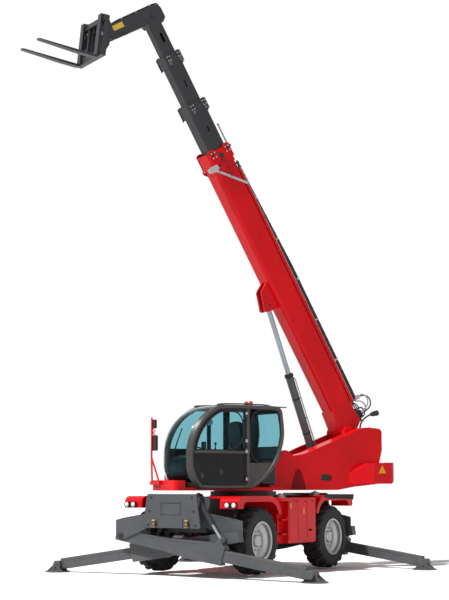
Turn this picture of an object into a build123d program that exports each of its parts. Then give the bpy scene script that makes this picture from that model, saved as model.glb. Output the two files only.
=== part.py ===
from build123d import *
import math
import os

# Rotating telehandler on four scissor stabilisers, boom raised and part extended.
# Millimetres, +X to the front, +Y to the machine's left, +Z up, floor at z = 0.
# The chassis is laid out about the slew axis, then moved so that the origin is
# the bottom centre of the whole machine's box.

# Whole machine
SLEW_X = -648
SLEW_DEG = -25
BOOM_DEG = 59
FORK_DEG = 6

# Wheels, axles and steering
WHEELBASE = 2620
WHEEL_Y = 1015
TYRE_R = 590
TYRE_W = 400
WHEEL_LIFT = 30
RIM_R = 320
RIM_LIP = 22
RIM_WALL = 18
RIM_DISC = 18
RIM_DISC_OUT = 60
NUTS = 10
NUT_R = 16
NUT_H = 24
NUT_RING_R = 168
SPINDLE_R = 60
KINGPIN_Y = 850
KINGPIN_R = 30
KNUCKLE_R = 75
KNUCKLE_H = 340
YOKE_T = 32
AXLE_R = 85
DIFF_R = 150
FIT = 0.3
GAP = 5

# Chassis
FRAME_HALF = 400
FRAME_OVERHANG = 570
FRAME_END = WHEELBASE / 2 + FRAME_OVERHANG
FRAME_LOW = 760
FRAME_TOP = 1385
BELLY_LOW = 520
BELLY_HALF_X = 620
BOX_TYRE_GAP = 90
BOX_STEP_GAP = 30
BOX_STEP_L = 210
BOX_X0 = TYRE_R + BOX_TYRE_GAP - WHEELBASE / 2
BOX_X1 = WHEELBASE / 2 - TYRE_R - BOX_TYRE_GAP - BOX_STEP_GAP
BOX_FACE_X1 = BOX_X1 - BOX_STEP_L
BOX_LOW = 545
BOX_TOP = 1365
BOX_Y1 = 1205
BOX_WALL = 12
STEP_DEEP = 110
STEPS = (700, 960)
DOOR_RAISE = 5
FENDER_Y0 = 560
FENDER_Y1 = 1215
FENDER_TOP = 1400
FENDER_T = 36
FENDER_NOSE_Y = 830
FENDER_REAR_Z = 1070
FENDER_LIP = 60
FENDER_LIP_T = 22
NOSE_OUT = 220
NOSE_X = FRAME_END + NOSE_OUT
CROSS_T = 20
PLATE_T = 30
PLATE_LOW = 850
PLATE_TOP = 1440
PLATE_HALF_TOP = 520
PLATE_HALF_LOW = 610
TOW_OUT = 75
TOW_R = 17
LAMP_R = 55

# Slew ring
RING_R = 640
RING_FIT_R = 560
RING_BORE = 470
RING_TOP = 1480
TURRET_LOW = 1500

# Stabilisers: the housing hinges at its high end, the beam slides out of it
STAB_OUT = 205
STAB_W = 150
STAB_X_IN = FRAME_END + STAB_OUT
STAB_X_OUT = STAB_X_IN + STAB_W + 2 * GAP
STAB_PIVOT_Y = 1120
STAB_PIVOT_Z = 700
STAB_DEG = 8.3
STAB_PIN_R = 35
STAB_LEN = 2190
STAB_TAIL = 130
STAB_H_HIGH = 100
STAB_H_LOW = 160
STAB_H_TOP = 195
BEAM_H = 200
BEAM_W = 120
BEAM_S0 = 1700
BEAM_S1 = 3800
BEAM_WALL = 10
PAD_X = STAB_X_IN + 60
PAD_Y = 2720
PAD_R = 235
PAD_T = 22
PAD_PIVOT_Z = 100
LEG_TOP_Y = 500
LEG_TOP_Z = 1310
LEG_EYE_S = 2075
LEG_EYE_T = 250
LEG_BARREL_R = 48
LEG_ROD_R = 26
LEG_EYE_R = 42
LEG_EAR_GAP = 34
LEG_STROKE = 340
LEG_PIN_R = 22

# Turret
BOOM_Y = -50
BASE_W = 380
CHANNEL_GAP = 55
CHANNEL_Y0 = BOOM_Y - BASE_W / 2 - CHANNEL_GAP
CHANNEL_Y1 = BOOM_Y + BASE_W / 2 + CHANNEL_GAP
PLATE_W = 40
COVER_Y = 500
BASE_TOP = 1555
HOOD_X0 = -1880
HOOD_X1 = 1050
HOOD_Y = -1150
HOOD_TOP = 2240
HOOD_T = 20
HOOD_R = 120
LOUVRES = 7
HOOD_HINGE_OUT = 17
HOOD_HINGE_Y = CHANNEL_Y0 - PLATE_W - HOOD_HINGE_OUT
HOOD_HINGE_Z = 2248
HOOD_HINGES = (-1700, -700, 300)
TAIL_X = -3100
TAIL_HALF = 800
TAIL_LOW = 1620
TAIL_TOP = 2030
TAIL_SEAT_X = -2880
BUMPER_X = 2140
PIVOT_X = -2330
PIVOT_Z = 2620
PIVOT_R = 60

# Cab
CAB_Y0 = 300
CAB_Y1 = 1200
CAB_WALL = 40
CAB_BULGE = 220
WINDSHIELD_LOW = 1640
ROOF_X = 1230
FAR_WINDOWS = ((90, 930), (1000, 1900))
QUARTER_Z = 1990
CAB_LOW = 1520
CAB_TOP = 3025
CAB_POST_X = 700
CAB_POST_W = 60
DOOR_GAP = 6
DOOR_T = 40
DOOR_HINGE_X = 712
DOOR_HINGE_Y = 1212
DOOR_HINGES = (1700, 2230, 2800)
WAIST_Z = 2160
WAIST_H = 40
PANEL_Z = 2010
GLASS_T = 6

# Boom, in its own frame: s along it from the pivot, v up from it
BASE_LOW = -66
BASE_H = 530
BASE_R = 70
BASE_WALL = 10
BASE_S0 = 20
BASE_S1 = 6000
BASE_HOLLOW = 340
SECTION_V = 225
SEC_H = (410, 350, 290)
SEC_W = (320, 264, 210)
SEC_R = (55, 45, 35)
SEC_S0 = (1100, 2000, 3000)
SEC_S1 = (7000, 8020, 8990)
SEC_WALL = 8
SLOT_S = (6560, 7520, 8480)
SLOT_L = (110, 150, 200)
SLOT_H = (50, 46, 64)
HEAD_PLATE_T = 12
HEAD_PLATE_BACK = 175
HEAD_BOLT_R = 11
RAIL_S0 = 330
RAIL_SHORT = 800
RAIL_S1 = BASE_S1 - RAIL_SHORT
RAIL_W = 130
RAIL_H = 62
HOSES = 4
HOSE_R = 11
LOOP_S = 240
NOSE_S0 = 8830
NOSE_S1 = 9110
NOSE_TOP = 490
NOSE_END = -660
NOSE_MOUTH = -330
NOSE_PIN_S = 8940
NOSE_PIN_V = -830
NOSE_PIN_R = 28
NOSE_W = 216
NOSE_PLATE = 14

# Lift and tilt cylinders
LIFT_BASE_X = -1830
LIFT_BASE_Z = 1750
LIFT_PIN_S = 3183
LIFT_PIN_V = -190
LIFT_BARREL_R = 78
LIFT_ROD_R = 48
LIFT_EYE_R = 60
LIFT_EYE_W = 74
LIFT_EAR_Y = 54
LIFT_PIN_R = 35
LIFT_BARREL_L = 2120
LIFT_BASE_W = 160
LIFT_ROD_START = 1200
TILT_BASE_S = 8930
TILT_BASE_V = 250
TILT_ARM = 170
TILT_ARM_DEG = -10
TILT_BARREL_R = 42
TILT_ROD_R = 24
TILT_PIN_R = 18
TILT_BARREL_L = 720
TILT_ROD_START = 300
TILT_EYE_R = 34
TILT_EYE_W = 44

# Carriage and forks, in the carriage frame: x forward from the nose pin, z up
CARRIAGE_W = 980
CARRIAGE_X0 = 205
CARRIAGE_X1 = 300
CARRIAGE_LOW = -560
CARRIAGE_TOP = 215
FORK_L = 1200
FORK_W = 120
FORK_T = 45
FORK_HALF = 350
FORK_LOW = -605


def box(x0, x1, y0, y1, z0, z1):
    return Pos((x0 + x1) / 2, (y0 + y1) / 2, (z0 + z1) / 2) * Box(x1 - x0, y1 - y0, z1 - z0)


def rod_x(y, z, r, x0, x1):
    return Pos((x0 + x1) / 2, y, z) * Rot(0, 90, 0) * Cylinder(r, x1 - x0)


def rod_y(x, z, r, y0, y1):
    return Pos(x, (y0 + y1) / 2, z) * Rot(90, 0, 0) * Cylinder(r, y1 - y0)


def rod_z(x, y, r, z0, z1):
    return Pos(x, y, (z0 + z1) / 2) * Cylinder(r, z1 - z0)


def prism_y(points, y0, y1):
    corners = [(x, y0, z) for x, z in points]
    face = make_face(Polyline(*corners, close=True))
    return extrude(face, amount=y1 - y0, dir=(0, 1, 0))


def prism_x(points, x0, x1):
    corners = [(x0, y, z) for y, z in points]
    face = make_face(Polyline(*corners, close=True))
    return extrude(face, amount=x1 - x0, dir=(1, 0, 0))


def mirror_x(shape):
    return mirror(shape, about=Plane.YZ)


def mirror_y(shape):
    return mirror(shape, about=Plane.XZ)


def outline(start, *steps):
    # Closed outline: a step of one point is a straight run, one of two is an arc through the first
    edges = []
    at = start
    for step in steps:
        if len(step) == 1:
            edges.append(Line(at, step[0]))
        else:
            edges.append(ThreePointArc(at, step[0], step[1]))
        at = step[-1]
    if at != start:
        edges.append(Line(at, start))
    return make_face(edges)


def slab_y(face, y0, y1):
    # An outline in x and z, pulled from y0 to y1
    return extrude(Pos(0, y0, 0) * (Plane.XZ * face), amount=y1 - y0, dir=(0, 1, 0))


def slab_x(face, x0, x1):
    # An outline in y and z, pulled from x0 to x1
    return extrude(Pos(x0, 0, 0) * (Plane.YZ * face), amount=x1 - x0, dir=(1, 0, 0))


# Wheels, knuckles and axles, about a wheel centre with +Y outwards
def tyre():
    bead = TYRE_W / 2 - 18
    wall = (RIM_R + TYRE_R) / 2 + 5
    side = TYRE_W / 2
    pts = [
        (RIM_R + FIT, -bead),
        (RIM_R + FIT, bead),
        (RIM_R + RIM_LIP + 8, bead),
        (RIM_R + 60, side - 6),
        (wall, side),
        (TYRE_R - 50, side - 6),
        (TYRE_R, side - 55),
        (TYRE_R, 55 - side),
        (TYRE_R - 50, 6 - side),
        (wall, -side),
        (RIM_R + 60, 6 - side),
        (RIM_R + RIM_LIP + 8, -bead),
    ]
    corners = [(r, a, 0) for r, a in pts]
    return revolve(make_face(Polyline(*corners, close=True)), axis=Axis.Y)


def rim():
    # Dropped-centre rim with a dished disc, hub boss and a ring of wheel nuts
    bead = TYRE_W / 2 - 18
    inner = RIM_R - RIM_WALL
    disc0 = RIM_DISC_OUT
    disc1 = RIM_DISC_OUT + RIM_DISC
    hub = SPINDLE_R + 50
    pts = [
        (0, disc0 + 60),
        (hub - 20, disc0 + 60),
        (hub, disc0 + 40),
        (hub, disc1),
        (inner - 70, disc1),
        (inner, disc1 + 45),
        (inner, bead + 2 * FIT),
        (inner + 8, bead + 14),
        (RIM_R + RIM_LIP, bead + 14),
        (RIM_R + RIM_LIP, bead + 2 * FIT),
        (RIM_R, bead + 2 * FIT),
        (RIM_R, -bead - 2 * FIT),
        (RIM_R + RIM_LIP, -bead - 2 * FIT),
        (RIM_R + RIM_LIP, -bead - 14),
        (inner + 8, -bead - 14),
        (inner, -bead - 2 * FIT),
        (inner, disc0 + 20),
        (inner - 70, disc0),
        (hub, disc0),
        (hub, -60),
        (SPINDLE_R + FIT, -60),
        (SPINDLE_R + FIT, disc0),
        (0, disc0),
    ]
    corners = [(r, a, 0) for r, a in pts]
    body = revolve(make_face(Polyline(*corners, close=True)), axis=Axis.Y)
    nut = extrude(Plane.XZ * RegularPolygon(NUT_R, 6), amount=-NUT_H)
    for i in range(NUTS):
        body += Rot(0, 360 / NUTS * i, 0) * Pos(NUT_RING_R, disc1 - 1, 0) * nut
    return body


def knuckle():
    # Kingpin housing with its spindle, hollow for the yoke's pins
    inset = WHEEL_Y - KINGPIN_Y
    body = rod_z(0, -inset, KNUCKLE_R, -KNUCKLE_H / 2, KNUCKLE_H / 2)
    flange = rod_y(0, 0, SPINDLE_R + 45, -inset + 40, -66)
    spindle = rod_y(0, 0, SPINDLE_R, -inset, RIM_DISC_OUT - GAP)
    arm = box(-230, -40, -inset - 24, -inset + 24, -14, 14)
    body = body + flange + spindle + arm
    for z0, z1 in ((-KNUCKLE_H, -60), (60, KNUCKLE_H)):
        body -= rod_z(0, -inset, KINGPIN_R + FIT, z0, z1)
    return body


def axle():
    # Tube, differential and a yoke with two kingpins at each end, about the axle centre
    parts = rod_y(0, 0, AXLE_R, -KINGPIN_Y + 110, KINGPIN_Y - 110)
    parts += Sphere(DIFF_R - 14)
    parts += rod_y(0, 0, DIFF_R - 30, -130, 130)
    parts += rod_x(0, 0, DIFF_R - 60, -DIFF_R - 40, DIFF_R + 10)
    for y in (-420, 420):
        parts += rod_y(0, 0, AXLE_R + 22, y - 14, y + 14)
    reach = KNUCKLE_H / 2 + FIT
    for side in (-1, 1):
        y = side * KINGPIN_Y
        web = box(-60, 60, -16, 16, -reach - YOKE_T, reach + YOKE_T)
        parts += Pos(0, y - side * (KNUCKLE_R + 25), 0) * web
        for end in (-1, 1):
            z0, z1 = sorted((end * reach, end * (reach + YOKE_T)))
            y0, y1 = sorted((y - side * (KNUCKLE_R + 30), y))
            parts += box(-60, 60, y0, y1, z0, z1)
            parts += rod_z(0, y, 60, z0, z1)
            p0, p1 = sorted((end * 70, end * (reach + YOKE_T)))
            parts += rod_z(0, y, KINGPIN_R, p0, p1)
            cap0, cap1 = sorted((end * (reach + YOKE_T - 1), end * (reach + YOKE_T + 12)))
            parts += rod_z(0, y, KINGPIN_R + 10, cap0, cap1)
    strut_top = FRAME_LOW - wheel_z()
    for side in (-1, 1):
        parts += rod_z(0, side * 300, 55, 0, strut_top)
    return parts


def wheel_z():
    return TYRE_R + WHEEL_LIFT


# Chassis
def chassis_frame():
    half = FRAME_HALF
    web = 30
    body = box(-FRAME_END, FRAME_END, half - web, half, FRAME_LOW, FRAME_TOP)
    body += box(-FRAME_END, FRAME_END, -half, web - half, FRAME_LOW, FRAME_TOP)
    body += box(-FRAME_END, FRAME_END, -half, half, FRAME_TOP - 25, FRAME_TOP)
    body += box(-FRAME_END, FRAME_END, -half, half, FRAME_LOW, FRAME_LOW + 25)
    for x in (15 - FRAME_END, -BELLY_HALF_X, 0, BELLY_HALF_X, FRAME_END - 15):
        body += box(x - 15, x + 15, -half, half, FRAME_LOW, FRAME_TOP)
    body += box(-BELLY_HALF_X, BELLY_HALF_X, -half, half, BELLY_LOW, FRAME_LOW)
    body += rod_z(0, 0, RING_R, FRAME_TOP, FRAME_TOP + 15)
    return body - rod_z(0, 0, RING_BORE, FRAME_TOP - 40, FRAME_TOP + 40)


def end_frame():
    # Cross plates at the front end that hold the stabiliser hinges and cylinders
    x_back = STAB_X_IN - STAB_W / 2 - GAP
    x_front = STAB_X_OUT + STAB_W / 2 + GAP
    arch = [
        (-430, 1395),
        (430, 1395),
        (560, LEG_TOP_Z + 60),
        (560, LEG_TOP_Z - 70),
        (430, 940),
        (-430, 940),
        (-560, LEG_TOP_Z - 70),
        (-560, LEG_TOP_Z + 60),
    ]
    back = prism_x(arch, x_back - CROSS_T, x_back)
    back += box(FRAME_END, x_back, -FRAME_HALF, FRAME_HALF, 940, FRAME_TOP)
    front = prism_x(arch, x_front, x_front + CROSS_T)
    plates = back + front
    plates += box(x_back, x_front + CROSS_T, -430, 430, 1372, 1395)
    for x, foot in ((STAB_X_OUT, 1), (STAB_X_IN, -1)):
        # The hinge of a beam is on the side away from its foot
        side = -foot
        ear = [
            (side * 380, 1130),
            (side * 380, 900),
            (side * (STAB_PIVOT_Y - 40), STAB_PIVOT_Z - 70),
            (side * (STAB_PIVOT_Y + 70), STAB_PIVOT_Z - 70),
            (side * (STAB_PIVOT_Y + 110), STAB_PIVOT_Z),
            (side * (STAB_PIVOT_Y + 110), 980),
            (side * (STAB_PIVOT_Y - 60), 1020),
        ]
        if foot > 0:
            near, far = x_front, x_front + CROSS_T
        else:
            near, far = x_back - CROSS_T, x_back
        plates += prism_x(ear, near, far)
        pin0 = min(near, x - STAB_W / 2)
        pin1 = max(far, x + STAB_W / 2)
        plates += rod_x(side * STAB_PIVOT_Y, STAB_PIVOT_Z, STAB_PIN_R, pin0, pin1)
        # The leg cylinder hangs from a pin on the foot's side
        lug0 = min(near, x - 30)
        lug1 = max(far, x + 30)
        plates += rod_x(foot * LEG_TOP_Y, LEG_TOP_Z, LEG_PIN_R, lug0, lug1)
    return plates


def side_boxes():
    # Hollow tank and tool boxes between the wheels: doors with a slot handle, a ribbed step ahead of them
    face = outline(
        (BOX_X0, BOX_LOW + 60),
        ((BOX_X0 + 18, BOX_LOW + 18), (BOX_X0 + 60, BOX_LOW)),
        ((BOX_X1 - 60, BOX_LOW),),
        ((BOX_X1 - 18, BOX_LOW + 18), (BOX_X1, BOX_LOW + 60)),
        ((BOX_X1, BOX_TOP),),
        ((BOX_X0, BOX_TOP),),
    )
    left = slab_y(face, FRAME_HALF, BOX_Y1)
    left -= box(BOX_X0 + BOX_WALL, BOX_FACE_X1 - BOX_WALL, FRAME_HALF + BOX_WALL, BOX_Y1 - BOX_WALL,
                BOX_LOW + BOX_WALL, BOX_TOP - BOX_WALL)
    left -= box(BOX_FACE_X1, BOX_X1 + 10, BOX_Y1 - STEP_DEEP, BOX_Y1 + 10, BOX_LOW - 10, BOX_TOP - 60)
    for z in STEPS:
        left += box(BOX_FACE_X1 - 5, BOX_X1 - 25, BOX_Y1 - STEP_DEEP - 5, BOX_Y1 - 20, z, z + 24)
    for x in (BOX_FACE_X1 + 50, BOX_FACE_X1 + 105):
        left += box(x, x + 14, BOX_Y1 - STEP_DEEP - 5, BOX_Y1 - STEP_DEEP + 14, STEPS[0], BOX_TOP - 70)
    seams = ((BOX_X0 + 40, BOX_X0 + 330), (BOX_X0 + 350, BOX_X0 + 660), (BOX_X0 + 680, BOX_FACE_X1 - 30))
    for x0, x1 in seams:
        door = box(x0, x1, BOX_Y1 - 1, BOX_Y1 + DOOR_RAISE, BOX_LOW + 70, BOX_TOP - 40)
        left += fillet(door.edges().filter_by(Axis.Y), 22)
    slot = Pos(BOX_X0 + 205, BOX_Y1, 770) * Rot(90, 0, 0) * extrude(SlotOverall(120, 34), amount=20, both=True)
    left -= slot
    left = left.solids().sort_by(SortBy.VOLUME)[-1]
    return Compound([left, mirror_y(left)])


def fenders():
    # A crown over the tyre, a nose for the lamps and a lip along the outer edge
    x_in = NOSE_X - 165
    axle_x = WHEELBASE / 2
    x_tail = axle_x - TYRE_R - 70
    low = FENDER_TOP - 210
    shell = outline(
        (NOSE_X, low),
        ((NOSE_X, FENDER_TOP - 120),),
        ((NOSE_X - 35.1, FENDER_TOP - 35.1), (NOSE_X - 120, FENDER_TOP)),
        ((axle_x - 230, FENDER_TOP),),
        ((axle_x - TYRE_R + 80, FENDER_TOP - 75), (x_tail, FENDER_REAR_Z)),
        ((x_tail + FENDER_T, FENDER_REAR_Z),),
        ((axle_x - TYRE_R + 105, FENDER_TOP - 105), (axle_x - 225, FENDER_TOP - FENDER_T)),
        ((x_in - 90, FENDER_TOP - FENDER_T),),
        ((x_in - 25, FENDER_TOP - 80), (x_in, low)),
    )
    one = slab_y(shell, FRAME_HALF, FENDER_Y1)
    one -= box(x_tail - 50, NOSE_X + 10, 300, FENDER_Y0, 0, FENDER_TOP - FENDER_T - 1)
    one -= box(FRAME_END - 20, NOSE_X + 10, 300, FENDER_NOSE_Y, 0, 2000)
    edge = FENDER_TOP - FENDER_T / 2
    lip = outline(
        (x_in + 12, low + 3),
        ((x_in - 34, FENDER_TOP - 125), (x_in - 130, FENDER_TOP - FENDER_T - FENDER_LIP)),
        ((axle_x - 210, FENDER_TOP - FENDER_T - FENDER_LIP),),
        ((axle_x - TYRE_R + 150, FENDER_TOP - 150), (x_tail + FENDER_T + 45, FENDER_REAR_Z)),
        ((x_tail + FENDER_T / 2, FENDER_REAR_Z),),
        ((axle_x - TYRE_R + 92, FENDER_TOP - 90), (axle_x - 228, edge)),
        ((x_in + 20, edge),),
    )
    one += slab_y(lip, FENDER_Y1 - FENDER_LIP_T, FENDER_Y1)
    one = one.solids().sort_by(SortBy.VOLUME)[-1]
    four = []
    for shape in (one, mirror_y(one)):
        four.append(shape)
        four.append(mirror_x(shape))
    return Compound(four)


def end_plates():
    # Trapezoid guard with a bolted cover and a hook box, towing eyes below
    half = PLATE_HALF_TOP
    low = PLATE_HALF_LOW
    pts = [(-half, PLATE_TOP), (half, PLATE_TOP), (low, PLATE_LOW), (-low, PLATE_LOW)]
    back = STAB_X_OUT + STAB_W / 2 + GAP + CROSS_T
    front = back + PLATE_T
    plate = prism_x(pts, back, front)
    plate = chamfer(plate.edges().filter_by(Axis.X), 25)
    plate -= box(front - 12, front + 99, -225, 225, 1060, 1290)
    plate += box(front - 13, front - 4, -190, 190, 1085, 1265)
    for y in (-170, 170):
        for z in (1105, 1245):
            plate += rod_x(y, z, 11, front - 5, front + 3)
    for side in (-1, 1):
        for y, z in ((430, 1380), (500, 900)):
            plate += rod_x(side * y, z, 16, front - 1, front + 10)
        eye = box(front - 1, front + TOW_OUT, side * 345 - 32, side * 345 + 32, 880, 905)
        eye += box(front - 1, front + TOW_OUT, side * 345 - 32, side * 345 + 32, 945, 970)
        plate += fillet(eye.edges().filter_by(Axis.Z).sort_by(Axis.X)[-4:], 25)
        plate -= rod_z(front + TOW_OUT - 32, side * 345, TOW_R, 860, 990)
    plate += box(front - 1, front + 9, -240, 240, 855, 1010)
    return Compound([plate, mirror_x(plate)])


def lights():
    # A pair of round lamps at each corner, each with a rim round its lens
    lamps = []
    for end in (-1, 1):
        for y in (1000, 1140):
            for side in (-1, 1):
                x0, x1 = sorted((end * NOSE_X, end * (NOSE_X + 45)))
                lamp = rod_x(side * y, FENDER_TOP - 150, LAMP_R, x0, x1)
                face = end * (NOSE_X + 45)
                lip0, lip1 = sorted((face - end, face + end * 8))
                ring = rod_x(side * y, FENDER_TOP - 150, LAMP_R, lip0, lip1)
                lamps.append(lamp + ring - rod_x(side * y, FENDER_TOP - 150, LAMP_R - 9, lip0 - 9, lip1 + 9))
    return Compound(lamps)


def slew_ring():
    ring = rod_z(0, 0, RING_R - 20, FRAME_TOP + 15, RING_TOP)
    return ring - rod_z(0, 0, RING_FIT_R, FRAME_TOP, RING_TOP + 10)


# Stabilisers, in a frame with x across, y along the beam from its hinge, z up
def stabiliser_housing():
    # Box section with a doubler at its hinge, flanges, and a mouth plate where the beam comes out
    top = STAB_H_TOP
    pts = [
        (-STAB_TAIL, -STAB_H_HIGH + 10),
        (-STAB_TAIL, STAB_H_HIGH - 10),
        (1000, STAB_H_HIGH + 20),
        (STAB_LEN - 350, top),
        (STAB_LEN - 60, top),
        (STAB_LEN, top - 40),
        (STAB_LEN - 40, -STAB_H_LOW),
        (1500, -STAB_H_LOW),
        (900, -STAB_H_HIGH - 15),
    ]
    half = STAB_W / 2
    body = prism_x(pts, -half, half)
    groove = [
        (160, -STAB_H_HIGH + 35),
        (160, STAB_H_HIGH - 30),
        (980, STAB_H_HIGH - 12),
        (STAB_LEN - 420, top - 60),
        (STAB_LEN - 420, 118 - STAB_H_LOW),
        (900, 20 - STAB_H_HIGH),
    ]
    for side in (-1, 1):
        x0, x1 = sorted((side * (half - 4), side * (half + 4)))
        body -= prism_x(groove, x0, x1)
    body -= box(-BEAM_W / 2 - FIT, BEAM_W / 2 + FIT, 150, STAB_LEN + 50, -BEAM_H / 2 - FIT, BEAM_H / 2 + FIT)
    for side in (-1, 1):
        x0, x1 = sorted((side * LEG_EAR_GAP, side * half))
        ear = outline(
            (LEG_EYE_S - 110, top - 20),
            ((LEG_EYE_S - 42, LEG_EYE_T + 10),),
            ((LEG_EYE_S, LEG_EYE_T + 46), (LEG_EYE_S + 42, LEG_EYE_T + 10)),
            ((LEG_EYE_S + 60, top - 20),),
        )
        body += slab_x(ear, x0, x1)
        cap0, cap1 = sorted((side * (half - 1), side * (half + 3)))
        body += rod_x(LEG_EYE_S, LEG_EYE_T, LEG_PIN_R + 8, cap0, cap1)
    bore = rod_x(0, 0, STAB_PIN_R + FIT, -STAB_W, STAB_W)
    return body - bore


def stabiliser_beam():
    # Box section with a strip along each side and a closed end
    w = BEAM_W / 2
    h = BEAM_H / 2
    body = box(-w, w, BEAM_S0, BEAM_S1, -h, h)
    body = chamfer(body.edges().filter_by(Axis.Y), 10)
    body -= box(BEAM_WALL - w, w - BEAM_WALL, BEAM_S0 - 10, BEAM_S1 - 20, BEAM_WALL - h, h - BEAM_WALL)
    for x0, x1 in ((-w - 9, 4 - w), (w - 4, w + 9)):
        body -= box(x0, x1, BEAM_S0 - 5, BEAM_S1 - 150, 0.28 * h, 0.42 * h)
    return body


def pad_and_foot(foot, x):
    # Foot at the beam's end, in the chassis frame: a dished plate with two gussets and a pin
    y = foot * PAD_Y
    pad = rod_z(PAD_X, y, PAD_R, 0, PAD_T)
    pad = chamfer(pad.edges().sort_by(Axis.Z)[-1], 8)
    tri = [(y - 190, PAD_T - 1), (y + 190, PAD_T - 1), (y + 40, PAD_PIVOT_Z + 34), (y - 40, PAD_PIVOT_Z + 34)]
    for side in (-1, 1):
        x0, x1 = sorted((PAD_X + side * 62, PAD_X + side * 84))
        pad += prism_x(tri, x0, x1)
        pad += box(x0, x1, y - 45, y + 45, PAD_T, PAD_PIVOT_Z + 60)
    pad += rod_x(y, PAD_PIVOT_Z, 26, PAD_X - 100, PAD_X + 100)
    out = math.copysign(1, PAD_X - x)
    x0, x1 = sorted((x - out * BEAM_W / 2, PAD_X + out * 62.5))
    y0, y1 = sorted((foot * (PAD_Y - 95), foot * (PAD_Y + 45)))
    block = box(x0, x1, y0, y1, PAD_PIVOT_Z - 38, PAD_PIVOT_Z + 108)
    return pad + fillet(block.edges().filter_by(Axis.X), 30)


def stab_frame(x, foot):
    # The beam runs from its hinge down towards its foot
    if foot > 0:
        turn = Rot(-STAB_DEG, 0, 0)
    else:
        turn = Rot(0, 0, 180) * Rot(-STAB_DEG, 0, 0)
    return Pos(x, -foot * STAB_PIVOT_Y, STAB_PIVOT_Z) * turn


def leg_points(foot):
    a = math.radians(STAB_DEG)
    eye_y = -STAB_PIVOT_Y + LEG_EYE_S * math.cos(a) + LEG_EYE_T * math.sin(a)
    eye_z = STAB_PIVOT_Z - LEG_EYE_S * math.sin(a) + LEG_EYE_T * math.cos(a)
    return (foot * LEG_TOP_Y, LEG_TOP_Z), (foot * eye_y, eye_z)


def along(p, q, x):
    # Frame with its x axis from p to q in the y-z plane
    angle = math.degrees(math.atan2(q[1] - p[1], q[0] - p[0]))
    return Pos(x, p[0], p[1]) * Rot(angle, 0, 0) * Rot(0, 0, 90)


def leg_barrel(length):
    barrel = rod_x(0, 0, LEG_BARREL_R, LEG_EYE_R, length - LEG_STROKE)
    eye = rod_y(0, 0, LEG_EYE_R, -28, 28) + box(0, LEG_EYE_R + 20, -28, 28, -30, 30)
    hole = rod_y(0, 0, LEG_PIN_R + FIT, -60, 60)
    bore = rod_x(0, 0, LEG_ROD_R + FIT, LEG_EYE_R + 60, length)
    return barrel + eye - hole - bore


def leg_rod(length):
    rod = rod_x(0, 0, LEG_ROD_R, LEG_STROKE, length)
    eye = rod_y(length, 0, LEG_EYE_R, -28, 28)
    return rod + eye


# Turret, about the slew axis with +X along the boom
def side_profile():
    # Outline of the turret's side plates: pivot lugs at the tail, a saddle, and a shoulder behind the cab
    return outline(
        (TAIL_SEAT_X, TAIL_LOW),
        ((TAIL_SEAT_X, TAIL_TOP + 10),),
        ((-2945, 2280),),
        ((-2945, 2600),),
        ((-2925, 2672), (-2860, 2700)),
        ((-2640, 2720),),
        ((-2440, 2690), (-2250, 2610)),
        ((-1420, 2310),),
        ((-1130, 2205), (-860, 2150)),
        ((-760, 2170), (-700, 2225)),
        ((-620, 2248), (-545, 2205)),
        ((-330, 1900), (100, 1760)),
        ((900, 1690),),
        ((1030, 1650), (1050, BASE_TOP)),
        ((1050, TURRET_LOW),),
        ((-1850, TURRET_LOW),),
        ((-2230, 1560),),
    )


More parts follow.
